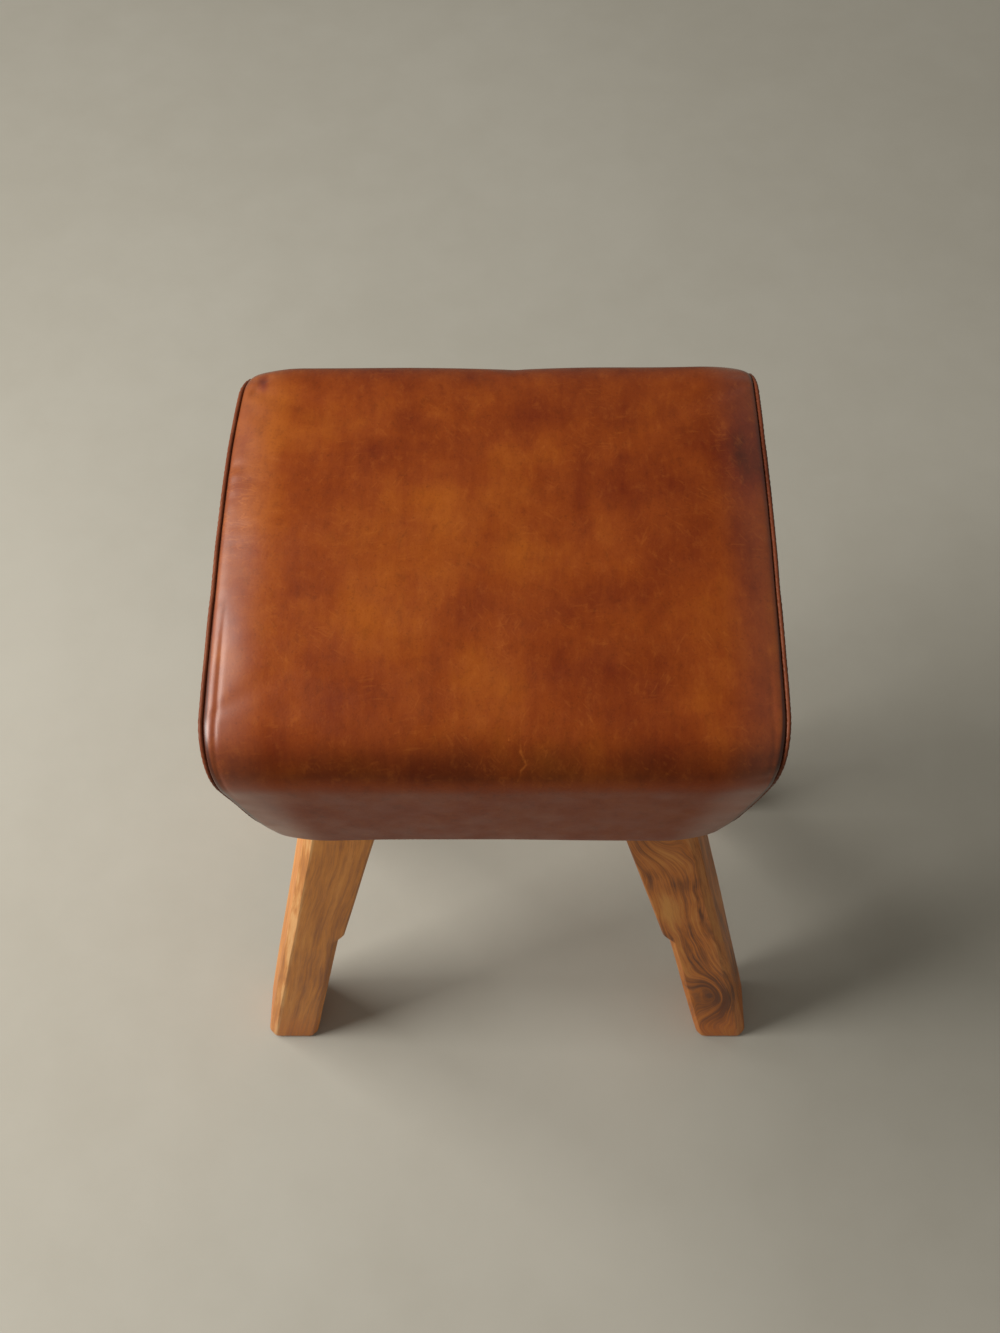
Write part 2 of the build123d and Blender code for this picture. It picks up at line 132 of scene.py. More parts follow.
# Swell of the end panels
swell = 0.0082
swell_reach = 0.021
rim_roll = 0.0016
rim_reach = 0.0025
rim_sink = 0.0024
rim_turn = 0.006
rim_under = 0.0125
rim_floor_count = 44
panel_middle = 0.52
panel_shares = (0, 0.006, 0.014, 0.026, 0.042, 0.065, *np.linspace(0.1, 0.97, 26))
panel_lumps = 0.0008
panel_lump_waves = ((0.06, 0.15), 8)
panel_puckers = 0.00042
panel_pucker_waves = ((0.012, 0.022), 8)
panel_pucker_zone = (0.007, 0.006)
panel_seeds = {-1: 21, 1: 22}

# Strip that is turned under an end rail: out from the end's lowest edge, and up from the underside.
# Its first places lie along the leaning end.
hem_gap = 0.0025
hem_columns = 30
hem_profile = (
    *((math.tan(lean) * rise + out, rise) for out, rise in ((0.0002, 0.014), (0.0018, 0.010), (0.0026, 0.006))),
    (0.0024, 0.0028), (0.0006, 0.0008), (-0.0024, 0.0), (-0.0108, -0.0002), (-0.0248, 0.0),
    (-0.0248, leather), (-0.0188, leather),
)

# Piping
cord_radius = 0.0018
cord_sink_places = (-0.340, -0.240, -0.205, -0.178, -0.150, 0.160, 0.185, 0.215, 0.300)
cord_sink_depths = (0.0022, 0.0012, 0.0018, 0.0024, 0.0010, 0.0010, 0.0018, 0.0034, 0.0036)
cord_pucker = 0.00011
cord_pucker_waves = ((0.0035, 0.008), 8)
cord_sway = 0.0002
cord_sway_waves = ((0.03, 0.08), 6)
cord_tuck = np.array([[0.010, 0.001], [0.005, 0.0005]])
cord_sides = 14
cord_seeds = {-1: 41, 1: 42}

# Foam
foam_depth = 0.0024
foam_margin = 0.009
foam_hem_rows = 8
foam_rail_gap = 0.0006
foam_deck_gap = 0.0003
foam_mitre = 0.9
end_padding = 0.008

# Legs
leg_levels = (0, 0.253, 0.271, 0.540, 0.662)
leg_widths = (0.054, 0.052, 0.056, 0.064, 0.064)
leg_depths = (0.066, 0.073, 0.073, 0.080, 0.080)
leg_spread = 0.215 - math.tan(lean) * seat_thickness - 0.015
foot_spread = leg_spread + 0.107
foot_reach = rail_inner + 0.037
foot_width = 0.054
foot_depth = 0.066
foot_ease = 0.0055
foot_draw = 0.0042
foot_corner = 0.007
foot_round = 0.030
stop_height = 0.262
stop_run = 0.018
stop_chamfer = 0.006
edge_chamfer = 0.002
outer_chamfer = 0.007
leg_corner = 0.0011
most_cut = 0.42
leg_drifts = (0.0003, 0.0003, 0.0004, 0.0004, 0.00015, 0.0002)
leg_waves = ((0.14, 0.4), 5)
leg_gap = 0.0005
leg_steps = (25, 11, 25, 5)

# Dust cover
cover_drop = 0.0006
cover_sag = 0.0016
cover_ripple = 0.0005
cover_waves = ((0.03, 0.09), 9, 61)
cover_steps = ((18, 11), (9, 13, 2))

# Camera, as the photograph was taken
camera_place = (0.02385, -0.70888, 1.79225)
camera_pitch = math.radians(60.484)
camera_pan = math.radians(-1.894)
camera_roll = math.radians(-1.859)
photo_height = 1333
focal_pixels = 1640
sensor = 36
floor_lines = 13


# Numbers and grids


def smooth(value, low, high):
    """0 below low, 1 above high and a soft step between."""
    share = np.clip((np.asarray(value, float) - low) / (high - low), 0, 1)
    return share * share * (3 - 2 * share)


def unit(vectors):
    """The same directions with length one."""
    return vectors / np.maximum(np.linalg.norm(vectors, axis=-1, keepdims=True), 1e-12)


def waves(points, wavelengths, count, seed):
    """Smooth lumps, mostly from -1 to 1, with wavelengths between two lengths."""
    draw = np.random.default_rng(seed)
    total = np.zeros(points.shape[:-1])
    for _ in range(count):
        direction = unit(draw.normal(size=points.shape[-1]))
        length = draw.uniform(*wavelengths)
        total += np.sin(points @ direction * 2 * math.pi / length + draw.uniform(0, 2 * math.pi))
    return total / math.sqrt(count)


def refined(grid, axis):
    """A grid of values with a smooth new row between every two rows."""
    rows = np.moveaxis(grid, axis, 0)
    before = np.concatenate([2 * rows[:1] - rows[1:2], rows[:-2]])
    after = np.concatenate([rows[2:], 2 * rows[-1:] - rows[-2:-1]])
    between = (9 * (rows[:-1] + rows[1:]) - before - after) / 16
    result = np.empty((2 * len(rows) - 1,) + rows.shape[1:])
    result[0::2] = rows
    result[1::2] = between
    return np.moveaxis(result, 0, axis)


def lengths(grid, axis):
    """Running length along one axis of a grid, from zero at its middle row."""
    steps = np.linalg.norm(np.diff(grid, axis=axis), axis=-1)
    zero = np.zeros_like(np.take(steps, [0], axis=axis))
    running = np.concatenate([zero, np.cumsum(steps, axis=axis)], axis=axis)
    return running - np.take(running, [running.shape[axis] // 2], axis=axis)


def evenly(stops, counts):
    """Values from stop to stop, in a number of even steps for each run."""
    runs = [np.linspace(a, b, count + 1)[1:] for a, b, count in zip(stops, stops[1:], counts)]
    return np.concatenate([stops[:1], *runs])


def mesh_object(name, points, faces, closed=False):
    """A smooth-shaded mesh object. A closed one has all its faces turned out."""
    mesh = bpy.data.meshes.new(name)
    mesh.from_pydata([tuple(p) for p in points], [], [tuple(int(i) for i in f) for f in faces])
    mesh.polygons.foreach_set("use_smooth", [True] * len(mesh.polygons))
    if closed:
        shape = bmesh.new()
        shape.from_mesh(mesh)
        bmesh.ops.recalc_face_normals(shape, faces=shape.faces)
        shape.to_mesh(mesh)
        shape.free()
    mesh.update()
    made = bpy.data.objects.new(name, mesh)
    bpy.context.collection.objects.link(made)
    return made


def grid_faces(rows, columns, start=0, closed=False):
    """Quads of a grid of points, which closes round its columns if asked."""
    index = start + np.arange(rows * columns).reshape(rows, columns)
    if closed:
        index = np.concatenate([index, index[:, :1]], axis=1)
    corners = [index[:-1, :-1], index[:-1, 1:], index[1:, 1:], index[1:, :-1]]
    return [list(face) for face in np.stack(corners, -1).reshape(-1, 4)]


def fan(start, count, tip):
    """Triangles from a ring of points to a tip."""
    return [[start + i, start + (i + 1) % count, tip] for i in range(count)]


def tube(name, rings):
    """A closed body through a row of rings, with a flat end at each."""
    rows, columns = rings.shape[:2]
    faces = grid_faces(rows, columns, closed=True)
    faces += [list(range(columns)), list(range((rows - 1) * columns, rows * columns))]
    return mesh_object(name, rings.reshape(-1, 3), faces, closed=True)


# Outline of the seat, from front to rear over the top


def arc(centre, radius, start, end, count):
    """Points on an arc and their outward normals."""
    angles = np.linspace(start, end, count)
    normals = np.stack([np.cos(angles), np.sin(angles)], 1)
    return np.asarray(centre) + radius * normals, normals


def straight(start, end, normal, count):
    """Points on a line and their normals."""
    shares = np.linspace(0, 1, count)[:, None]
    points = np.asarray(start) * (1 - shares) + np.asarray(end) * shares
    return points, np.repeat([normal], count, axis=0)


def outline(height):
    """Points (y, up) and normals of the seat's outline between its two hems."""
    shoulder_y = seat_depth / 2 - shoulder_radius
    shoulder_v = math.sqrt((crown_radius - shoulder_radius) ** 2 - shoulder_y**2) - crown_radius
    belly_y = seat_depth / 2 - belly_setback - belly_radius
    belly_v = belly_radius - height
    crown_angle = math.atan2(shoulder_v + crown_radius, shoulder_y)
    apart = math.hypot(belly_y - shoulder_y, belly_v - shoulder_v)
    along = math.atan2(belly_v - shoulder_v, belly_y - shoulder_y)
    face_angle = along + math.acos((shoulder_radius - belly_radius) / apart)
    face_normal = (math.cos(face_angle), math.sin(face_angle))
    crown = arc((0, -crown_radius), crown_radius, math.pi / 2, crown_angle, crown_count)
    shoulder = arc((shoulder_y, shoulder_v), shoulder_radius, crown_angle, face_angle, shoulder_count)
    belly = arc((belly_y, belly_v), belly_radius, face_angle, -math.pi / 2, belly_count)
    face = straight(shoulder[0][-1], belly[0][0], face_normal, face_count)
    hem = straight(belly[0][-1], (hem_inner, -height), (0, -1), hem_count)
    front = [np.concatenate([crown[k], *(part[k][1:] for part in (shoulder, face, belly, hem))]) for k in (0, 1)]
    return [np.concatenate([half[:0:-1] * (-1, 1), half]) for half in front]


def end_out(side):
    """Direction out of an end seam's leaning plane."""
    return np.array([side * math.cos(lean), 0, -math.sin(lean)])


def on_end(side, points, outwards=0.0):
    """Outline points in space, on the seam's leaning plane or beside it."""
    up = np.array([side * math.sin(lean), 0, math.cos(lean)])
    origin = np.array([side * seat_width / 2, 0, seat_top])
    lift = np.broadcast_to(np.asarray(outwards, float), points.shape[:-1])
    flat = points[..., :1] * np.array([0, 1.0, 0]) + points[..., 1:] * up
    return origin + flat + lift[..., None] * end_out(side)


def seam_draw(side):
    """How far the hide is drawn in along a seam."""
    return np.interp(end_running, draw_places, draws[side]) * end_free


def seam_line(side, sink):
    """An end seam's outline, sunk below the drawn hide."""
    return end_points - end_normals * (seam_draw(side) + sink)[:, None]


end_points, end_normals = outline(seat_thickness / math.cos(lean))
middle_points, middle_normals = outline(seat_thickness)
# Lengths along the outline from the crown's middle: the front above 0, the rear below
end_running = -lengths(end_points, 0)
middle_running = -lengths(middle_points, 0)
end_free = smooth(1 + end_normals[:, 1], 0.0, 0.5)
end_bows = {side: np.interp(end_running, bow_places, bows[side]) for side in (-1, 1)}
middle_fill = end_free * (1 - face_fill_loss * smooth(np.abs(end_running), *face_fill_fade))
cord_sink = np.interp(end_running, cord_sink_places, cord_sink_depths)
sewn = end_normals[:, 1] > -0.999


# Cloth


def relaxed(made, pins):
    """Where a pinned skin goes under its padding's pressure, as far as the padding lets it."""
    start = np.array([v.co for v in made.data.vertices])
    group = made.vertex_groups.new(name="pins")
    group.add([int(i) for i in np.flatnonzero(pins)], 1.0, "REPLACE")
    cloth = made.modifiers.new("cloth", "CLOTH")
    for setting, value in firm_leather.items():
        setattr(cloth.settings, setting, value)
    cloth.settings.vertex_group_mass = "pins"
    cloth.settings.use_pressure = True
    cloth.settings.effector_weights.gravity = 0
    cloth.collision_settings.use_collision = False
    cloth.point_cache.frame_start = 1
    cloth.point_cache.frame_end = cloth_frames
    for step in range(1, cloth_frames + 1):
        bpy.context.scene.frame_set(step)
    view = made.evaluated_get(bpy.context.evaluated_depsgraph_get())
    moved = np.array([v.co for v in view.data.vertices])
    shift = (moved - start) * cloth_share
    length = np.linalg.norm(shift, axis=1, keepdims=True)
    shift *= np.minimum(1, cloth_cap / np.maximum(length, 1e-9))
    bpy.context.scene.frame_set(1)
    bpy.data.objects.remove(made)
    return start + shift


# Seat hide


def hide_grid():
    """The hide as drawn in at its seams: its places, outward normals and distances from the nearer seam."""
    reach = (seat_width / 2 + middle_points[:, 1] * math.tan(lean)) * math.cos(lean)
    near = np.array(seam_columns)
    steps = np.arange(1, open_columns + 1) / open_columns
    far = near[-1] + (reach[:, None] - near[-1]) * steps
    half = np.concatenate([np.repeat(near[None], len(reach), axis=0), far], axis=1)
    weight = 1 - half / reach[:, None]
    middle = np.insert(middle_points, 0, 0, axis=1) + (0, 0, seat_top)
    halves = []
    for side in (-1, 1):
        end = on_end(side, end_points, end_bows[side])
        share = weight[..., None]
        places = middle[:, None] * (1 - share) + end[:, None] * share
        flat = middle_normals[:, None] * (1 - share) + end_normals[:, None] * share
        tilt = weight * lean
        parts = [flat[..., 1] * np.sin(tilt) * side, flat[..., 0], flat[..., 1] * np.cos(tilt)]
        normals = unit(np.stack(parts, -1))
        drawn = seam_draw(side)[:, None]
        lip = np.clip(drawn, least_lip, lip_draw) * end_free[:, None]
        gentle = np.maximum(drawn - lip, 0)
        inside = half - hide_edge
        broad = np.clip(1 - inside / roll_width, 0, 1) ** roll_power
        tight = np.clip(1 - inside / lip_width, 0, 1)
        fill = crown_fill * middle_fill[:, None]
        inset = (gentle + fill) * broad - fill + lip * (1 - np.sqrt(1 - tight**2 * 0.99))
        places = places - normals * inset[..., None]
        halves.append((places, normals, half))
    left, right = halves
    return [np.concatenate([a, b[:, -2::-1]], axis=1) for a, b in zip(left, right)]


def softened(grid, normals, distance):
    """The hide after its padding has pushed it out between the seams."""
    free = end_free[:, None]
    give = padding_give * smooth(distance, *padding_zone) * free
    start = grid - normals * give[..., None]
    rows, columns = grid.shape[:2]
    made = mesh_object("hide_in_tension", start.reshape(-1, 3), grid_faces(rows, columns))
    pins = (distance < seam_columns[pinned_columns]) | (free + 0 * distance < 0.5)
    return relaxed(made, pins.ravel()).reshape(grid.shape)


def crease(x, s, path, width):
    """1 on a path over the hide, given as points across and along it, falling to 0 beside it."""
    best = np.full(x.shape, 1e9)
    for (x0, s0), (x1, s1) in zip(path[:-1], path[1:]):
        dx, ds = x1 - x0, s1 - s0
        share = np.clip(((x - x0) * dx + (s - s0) * ds) / (dx * dx + ds * ds), 0, 1)
        best = np.minimum(best, np.hypot(x - x0 - share * dx, s - s0 - share * ds))
    return np.exp(-((best / width) ** 2))


def make_hide():
    """The long hide with its soft lumps, puckers at the seams and wear creases."""
    base, normals, distance = hide_grid()
    grid = softened(base, normals, distance)
    free = end_free[:, None] + 0 * distance
    grid, normals, distance, free = (refined(refined(v, 0), 1) for v in (grid, normals, distance, free))
    s = -lengths(grid, 0)
    x = grid[..., 0]
    left = x < 0
    inside = distance - hide_edge
    lumps = lump_height * waves(np.stack([x, s], -1), *lump_waves) * smooth(inside, 0.002, 0.03)
    edge = np.stack([s, np.where(left, 0.0, 7.3)], -1)
    rhythm = waves(edge, *pucker_waves)
    strength = smooth(waves(edge, *pucker_strength_waves), -0.8, 1.2)
    puckers = pucker_height * rhythm * strength * np.exp(-(((inside - pucker_place) / pucker_width) ** 2))
    line = np.interp(s, *allowance_line)
    ridge = 0.5 * np.exp(-(((inside - line / 2) / allowance_width[1]) ** 2))
    allowance = np.exp(-(((inside - line) / allowance_width[0]) ** 2)) - ridge
    shown = np.where(left, smooth(s, 0.05, 0.11), 0.5 * smooth(s, 0.09, 0.14)) * smooth(-s, -0.245, -0.2)
    shift = lumps + puckers - allowance_depth * allowance * shown
    for path, depth, width in [dimple, *hide_creases]:
        shift = shift - depth * crease(x, s, path, width)
    skin = grid + normals * (shift * smooth(free, 0.1, 0.9))[..., None]
    turned = []
    for side, column in ((-1, 0), (1, -1)):
        turned.append([
            (skin[:, column] + end_out(side) * out - normals[:, column] * sink)[:, None] for out, sink in seam_turn
        ])
    grid = np.concatenate([*turned[0][::-1], skin, *turned[1]], axis=1)
    up = np.array([0, 0, leather])
    back = np.array([0, hem_return, 0])
    grid = np.concatenate([grid[:1] + up - back, grid[:1] + up, grid, grid[-1:] + up, grid[-1:] + up + back])
    rows, columns = grid.shape[:2]
    made = mesh_object("seat_hide", grid.reshape(-1, 3), grid_faces(rows, columns))
    return made, skin, normals, distance


# Creases in the hide: points (x, distance from the crown's middle), depth and width
dimple = ([(-0.189, -0.167), (-0.1985, -0.146)], 0.0009, 0.0034)
hide_creases = [
    ([(0.0190, 0.163), (0.0192, 0.1800), (0.0232, 0.1905)], 0.00035, 0.0020),
    ([(0.0232, 0.1905), (0.0195, 0.1955), (0.0172, 0.206)], 0.0003, 0.0018),
    ([(0.0548, 0.166), (0.0552, 0.178), (0.0612, 0.188), (0.0660, 0.197), (0.0662, 0.205)], 0.0003, 0.0017),
    ([(0.010, 0.150), (0.011, 0.172)], 0.0002, 0.0016),
    ([(-0.1800, -0.072), (-0.1700, -0.068)], 0.0002, 0.0014),
    ([(-0.118, -0.020), (-0.108, -0.016)], 0.0002, 0.0014),
    ([(0.000, 0.004), (0.004, 0.002)], 0.0002, 0.0016),
]


# End panels


def panel_rim_line(side):
    """An end panel's rim, closed along the underside, and how far each place bows out."""
    rim = seam_line(side, cord_sink + rim_sink)[sewn]
    bow = end_bows[side][sewn]
    floor = np.linspace(rim[-1], rim[0], rim_floor_count)[1:-1]
    floor[:, 1] = rim[0, 1]
    floor_bow = np.linspace(bow[-1], bow[0], rim_floor_count)[1:-1]
    return np.concatenate([rim, floor]), np.concatenate([bow, floor_bow])


def lift_at(depth):
    """How far an end stands out at a distance in from its rim."""
    return swell * (1 - np.exp(-depth / swell_reach)) + rim_roll * (1 - np.exp(-depth / rim_reach))


def panel_grid(side):
    """An end panel's places, ring by ring from its rim to near its middle, its middle, and its rim with its bow."""
    rim, bow = panel_rim_line(side)
    centre = np.array([0, rim[:, 1].min() * panel_middle])
    reach = np.linalg.norm(rim - centre, axis=1)
    shares = np.array(panel_shares)
    grid = rim + (centre - rim) * shares[:, None, None]
    depth = reach[None] * shares[:, None]
    lumps = panel_lumps * waves(grid, *panel_lump_waves, panel_seeds[side]) * smooth(depth, 0.004, 0.03)
    around = np.cumsum(np.linalg.norm(np.diff(rim, axis=0, append=rim[:1]), axis=1))
    around = around[None, :, None] + 0 * depth[..., None]
    place, width = panel_pucker_zone
    puckers = np.exp(-(((depth - place) / width) ** 2)) * waves(around, *panel_pucker_waves, panel_seeds[side] + 10)
    outwards = lift_at(depth) + lumps + panel_puckers * puckers + bow * (1 - shares[:, None])
    middle = on_end(side, centre[None], swell + rim_roll)
    return on_end(side, grid, outwards), middle, rim, bow


def make_panel(side, name):
    """A swollen leather end with its hem turned under between the legs."""
    places, middle, rim, bow = panel_grid(side)
    turned = np.where(rim[:, 1] < rim[:, 1].min() + 0.001, rim_under, rim_turn)
    back = on_end(side, rim, bow - turned)[None]
    places = np.concatenate([back, places])
    rows, columns = places.shape[:2]
    points = np.concatenate([places.reshape(-1, 3), middle])
    faces = grid_faces(rows, columns, closed=True) + fan((rows - 1) * columns, columns, rows * columns)
    hem, hem_faces = panel_hem(side, len(points))
    if side < 0:
        faces = [face[::-1] for face in faces]
        hem_faces = [face[::-1] for face in hem_faces]
    return mesh_object(name, np.concatenate([points, hem]), faces + hem_faces)


def panel_hem(side, start):
    """The strip of the end panel that is turned under the end rail, between the legs."""
    low_x = seat_width / 2 - math.tan(lean) * seat_thickness
    ys = np.linspace(hem_gap - leg_cheek, leg_cheek - hem_gap, hem_columns)
    points = [(side * (low_x + out), y, underside + rise) for out, rise in hem_profile for y in ys]
    rows = len(hem_profile)
    near_end = [start + row * hem_columns for row in range(rows)]
    far_end = [corner + hem_columns - 1 for corner in near_end[::-1]]
    return points, grid_faces(rows, hem_columns, start) + [near_end, far_end]


def make_piping(side, name):
    """Leather-covered cord along an end seam, a little puckered, its ends tucked under."""
    path = seam_line(side, cord_sink)[sewn]
    path = np.concatenate([path[0] + cord_tuck, path, path[-1] + cord_tuck[::-1] * (-1, 1)])
    bow = np.pad(end_bows[side][sewn], len(cord_tuck), mode="edge")
    for _ in range(2):
        path = refined(path, 0)
        bow = refined(bow, 0)
    tangent = unit(np.gradient(path, axis=0))
    normal = np.stack([-tangent[:, 1], tangent[:, 0]], 1)
    running = lengths(path, 0)
    sway = cord_sway * waves(running[:, None], *cord_sway_waves, cord_seeds[side])
    path = path + normal * sway[:, None]
    angles = np.linspace(0, 2 * math.pi, cord_sides, endpoint=False)
    ripple = waves(running[:, None], *cord_pucker_waves, cord_seeds[side] + 10)
    radius = cord_radius + cord_pucker * ripple
    rings = path[:, None] + normal[:, None] * (radius[:, None] * np.cos(angles))[..., None]
    return tube(name, on_end(side, rings, radius[:, None] * np.sin(angles) + bow[:, None]))


# Foam under the leather


def shell_between(name, outer, inner):
    """A closed body between two open grids with the same rows and columns."""
    rows, columns = outer.shape[:2]
    count = rows * columns
    index = np.arange(count).reshape(rows, columns)
    edge = np.concatenate([index[0, :-1], index[:-1, -1], index[-1, :0:-1], index[:0:-1, 0]])
    faces = grid_faces(rows, columns)
    faces += [face[::-1] for face in grid_faces(rows, columns, count)]
    after = np.roll(edge, -1)
    faces += [[a, a + count, b + count, b] for a, b in zip(edge, after)]
    return mesh_object(name, np.concatenate([outer.reshape(-1, 3), inner.reshape(-1, 3)]), faces, closed=True)


def make_seat_foam(skin, normals, distance):
    """Foam over the deck and down the long rails, just under the hide."""
    rows = slice(foam_hem_rows, -foam_hem_rows, 3)
    outer = (skin - normals * foam_depth)[rows, ::3]
    outer = outer[:, (distance[rows, ::3] > foam_margin).all(axis=0)]
    rail_face = box_half_depth + foam_rail_gap
    deck_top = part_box("seat_deck")[1].z + foam_deck_gap
    y = outer[..., 1]
    z = outer[..., 2]
    inner = outer.copy()
    beside = z < deck_top + (np.abs(y) - rail_face) * foam_mitre
    inner[..., 1] = np.where(beside, np.sign(y) * rail_face, np.clip(y, -rail_face, rail_face))
    inner[..., 2] = np.where(beside, np.minimum(z, deck_top), deck_top)
    return shell_between("seat_foam", outer, inner)


def make_end_foam(side, name):
    """Foam sheet over an end board, swollen like the leather over it."""
    places, middle = panel_grid(side)[:2]
    outer = places[2::2]
    flat = (outer - np.array([side * seat_width / 2, 0, seat_top])) @ end_out(side)
    outer = outer - end_out(side) * foam_depth
    inner = outer - end_out(side) * (flat - foam_depth + end_padding)[..., None]
    rings = np.concatenate([inner[::-1], outer])
    rows, columns = rings.shape[:2]
    count = rows * columns
    tips = [middle - end_out(side) * depth for depth in (swell + rim_roll + end_padding, foam_depth)]
    faces = grid_faces(rows, columns, closed=True) + fan(0, columns, count) + fan(count - columns, columns, count + 1)
    return mesh_object(name, np.concatenate([rings.reshape(-1, 3), *tips]), faces, closed=True)


# Legs


def rounded(corners, radius, arc_steps, face_steps):
    """A convex outline with eased corners, the same number of points for any size."""
    cuts = []
    for before, here, after in zip(np.roll(corners, 1, axis=0), corners, np.roll(corners, -1, axis=0)):
        half = math.acos(float(np.clip(np.dot(unit(before - here), unit(after - here)), -1, 1))) / 2
        cut = min(radius / math.tan(half), *(most_cut * np.linalg.norm(way - here) for way in (before, after)))
        cuts.append((here + unit(before - here) * cut, here + unit(after - here) * cut))
    points = []
    for i, here in enumerate(corners):
        start, end = cuts[i]
        goal = cuts[(i + 1) % len(cuts)][0]
        for t in np.arange(arc_steps + 1) / arc_steps:
            points.append((1 - t) ** 2 * start + 2 * t * (1 - t) * here + t**2 * end)
        points += [end + (goal - end) * step / face_steps for step in range(1, face_steps)]
    return np.array(points)


def leg_ring(level, seed):
    """A leg's section at a level, for the leg on the right at the rear, a little uneven as cut by hand."""
    width = np.interp(level, leg_levels, leg_widths)
    depth = np.interp(level, leg_levels, leg_depths)
    stop = smooth(level, stop_height - stop_run / 2, stop_height + stop_run / 2)
    inner = stop_chamfer + (edge_chamfer - stop_chamfer) * float(stop)
    x_high = foot_spread + (leg_spread - foot_spread) * level / underside
    y_high = foot_reach + (rail_inner - foot_reach) * min(level, underside) / underside
    ease = foot_draw * (1 - math.sqrt(1 - 0.995 * max(0.0, 1 - level / foot_ease) ** 2))
    place = np.array([level])
    drift = [size * float(waves(place, *leg_waves, seed + k)) for k, size in enumerate(leg_drifts)]
    x_low, y_low = x_high - width + ease + drift[5], y_high - depth + ease
    x_high, y_high = x_high - ease + drift[4], y_high - ease
    inner += drift[0]
    far_inner = inner + drift[1]
    outer, far_outer = outer_chamfer + drift[2], outer_chamfer + drift[3]
    corners = np.array([
        (x_low + far_inner, y_low), (x_high - far_outer, y_low), (x_high, y_low + far_outer),
        (x_high, y_high - outer), (x_high - outer, y_high), (x_low + inner, y_high),
        (x_low, y_high - inner), (x_low, y_low + far_inner),
    ])
    ring = rounded(corners, leg_corner + foot_corner * max(0.0, 1 - level / foot_round), 3, 4)
    return np.insert(ring, 2, level, axis=1)


def leg_places():
    """Levels of a leg's rings, close together where its form changes."""
    foot = foot_ease * (1 - np.cos(np.linspace(0, math.pi / 2, 6)))
    run = (stop_height - stop_run / 2, stop_height + stop_run / 2)
    above = evenly((foot_ease, *run, underside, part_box("rear_rail")[1].z), leg_steps)
    return np.concatenate([foot, above[1:]])


def leg_frame(side, front):
    """A leg's foot and its three own directions: across, to the rear and up along it."""
    turn = np.array([side, -1 if front else 1, 1])
    foot = np.array([foot_spread - foot_width / 2, foot_reach - foot_depth / 2, 0]) * turn
    knee = np.array([leg_spread - leg_widths[-1] / 2, rail_inner - leg_depths[-1] / 2, underside]) * turn
    along = unit(knee - foot)
    rearwards = unit(np.array([0, 1.0, 0]) - along * along[1])
    return foot, np.cross(rearwards, along), rearwards, along


def make_leg(side, front, name, seed):
    """A splayed leg with eased edges."""
    rings = np.array([leg_ring(level, seed) for level in leg_places()])
    return tube(name, rings * np.array([side, -1 if front else 1, 1]))


# Dust cover


def make_cover():
    """Thin black cloth pulled tight under the seat, cut round the legs, sagging a little."""
    low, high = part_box("dust_cover")
    notch_x = leg_spread - leg_widths[-1] - leg_gap
    notch_y = (leg_cheek - leg_gap, rail_inner + leg_gap)
    half_x = evenly((0, notch_x, high.x), cover_steps[0])
    half_y = evenly((0, *notch_y, high.y), cover_steps[1])
    xs = np.concatenate([-half_x[:0:-1], half_x])
    ys = np.concatenate([-half_y[:0:-1], half_y])
    x, y = np.meshgrid(xs, ys)
    inside = np.minimum(high.x - np.abs(x), high.y - np.abs(y))
    sag = cover_sag * smooth(inside, 0.004, 0.06)
    ripple = cover_ripple * waves(np.stack([x, y], -1), *cover_waves) * smooth(inside, 0.0, 0.02)
    points = np.stack([x, y, high.z - cover_drop - sag - ripple], -1).reshape(-1, 3)
    middle_x, middle_y = np.meshgrid(np.abs(xs[1:] + xs[:-1]) / 2, np.abs(ys[1:] + ys[:-1]) / 2)
    kept = ~((middle_x > notch_x) & (middle_y > notch_y[0]) & (middle_y < notch_y[1]))
    area = float((np.diff(ys)[:, None] * np.diff(xs))[kept].sum())
    quads = np.array(grid_faces(*x.shape))[kept.ravel(), ::-1]
    used, faces = np.unique(quads, return_inverse=True)
    made = mesh_object("black_dust_sheet", points[used], faces.reshape(-1, 4))
    return made, (2 * high.x, 2 * high.y), area


def keep_piece(made, slot, *nodes, fill=None):
    """Rides a piece on the stool and hides the solids it stands for. Its slot and fill are not used."""
    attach(made, "root")
    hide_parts(*nodes)
    return made


seat_hide, skin, skin_normals, skin_distance = make_hide()
keep_piece(seat_hide, "wrap_leather", "leather_wrap", fill=0.9)
seat_foam = make_seat_foam(skin, skin_normals, skin_distance)
keep_piece(seat_foam, "seat_foam", "top_cushion", "front_pad", "rear_pad", fill=1.0)

panels = {}
cords = {}
end_foams = {}
for side, word in ((1, "right"), (-1, "left")):
    panels[word] = keep_piece(make_panel(side, f"{word}_end_hide"), "end_leather", f"{word}_end_panel", fill=0.9)
    cords[word] = keep_piece(make_piping(side, f"{word}_covered_cord"), "piping_leather", f"{word}_piping")
    end_foams[word] = keep_piece(make_end_foam(side, f"{word}_end_foam"), "seat_foam", f"{word}_end_pad", fill=1.0)

legs = {}
for front, place in ((True, "front"), (False, "rear")):
    for side, word, slot in ((-1, "left", "golden_wood"), (1, "right", "figured_wood")):
        seed = 70 + 10 * len(legs)
        made = make_leg(side, front, f"{place}_{word}_splayed_leg", seed)
        legs[f"{place}_{word}"] = keep_piece(made, slot, f"{place}_{word}_leg")

cover, cover_size, cover_area = make_cover()
keep_piece(cover, "black_cloth", "dust_cover")


# Materials


def rgba(colour):
    """A colour with its alpha, unless a node gives it."""
    return (*colour, 1.0) if isinstance(colour, tuple) else colour


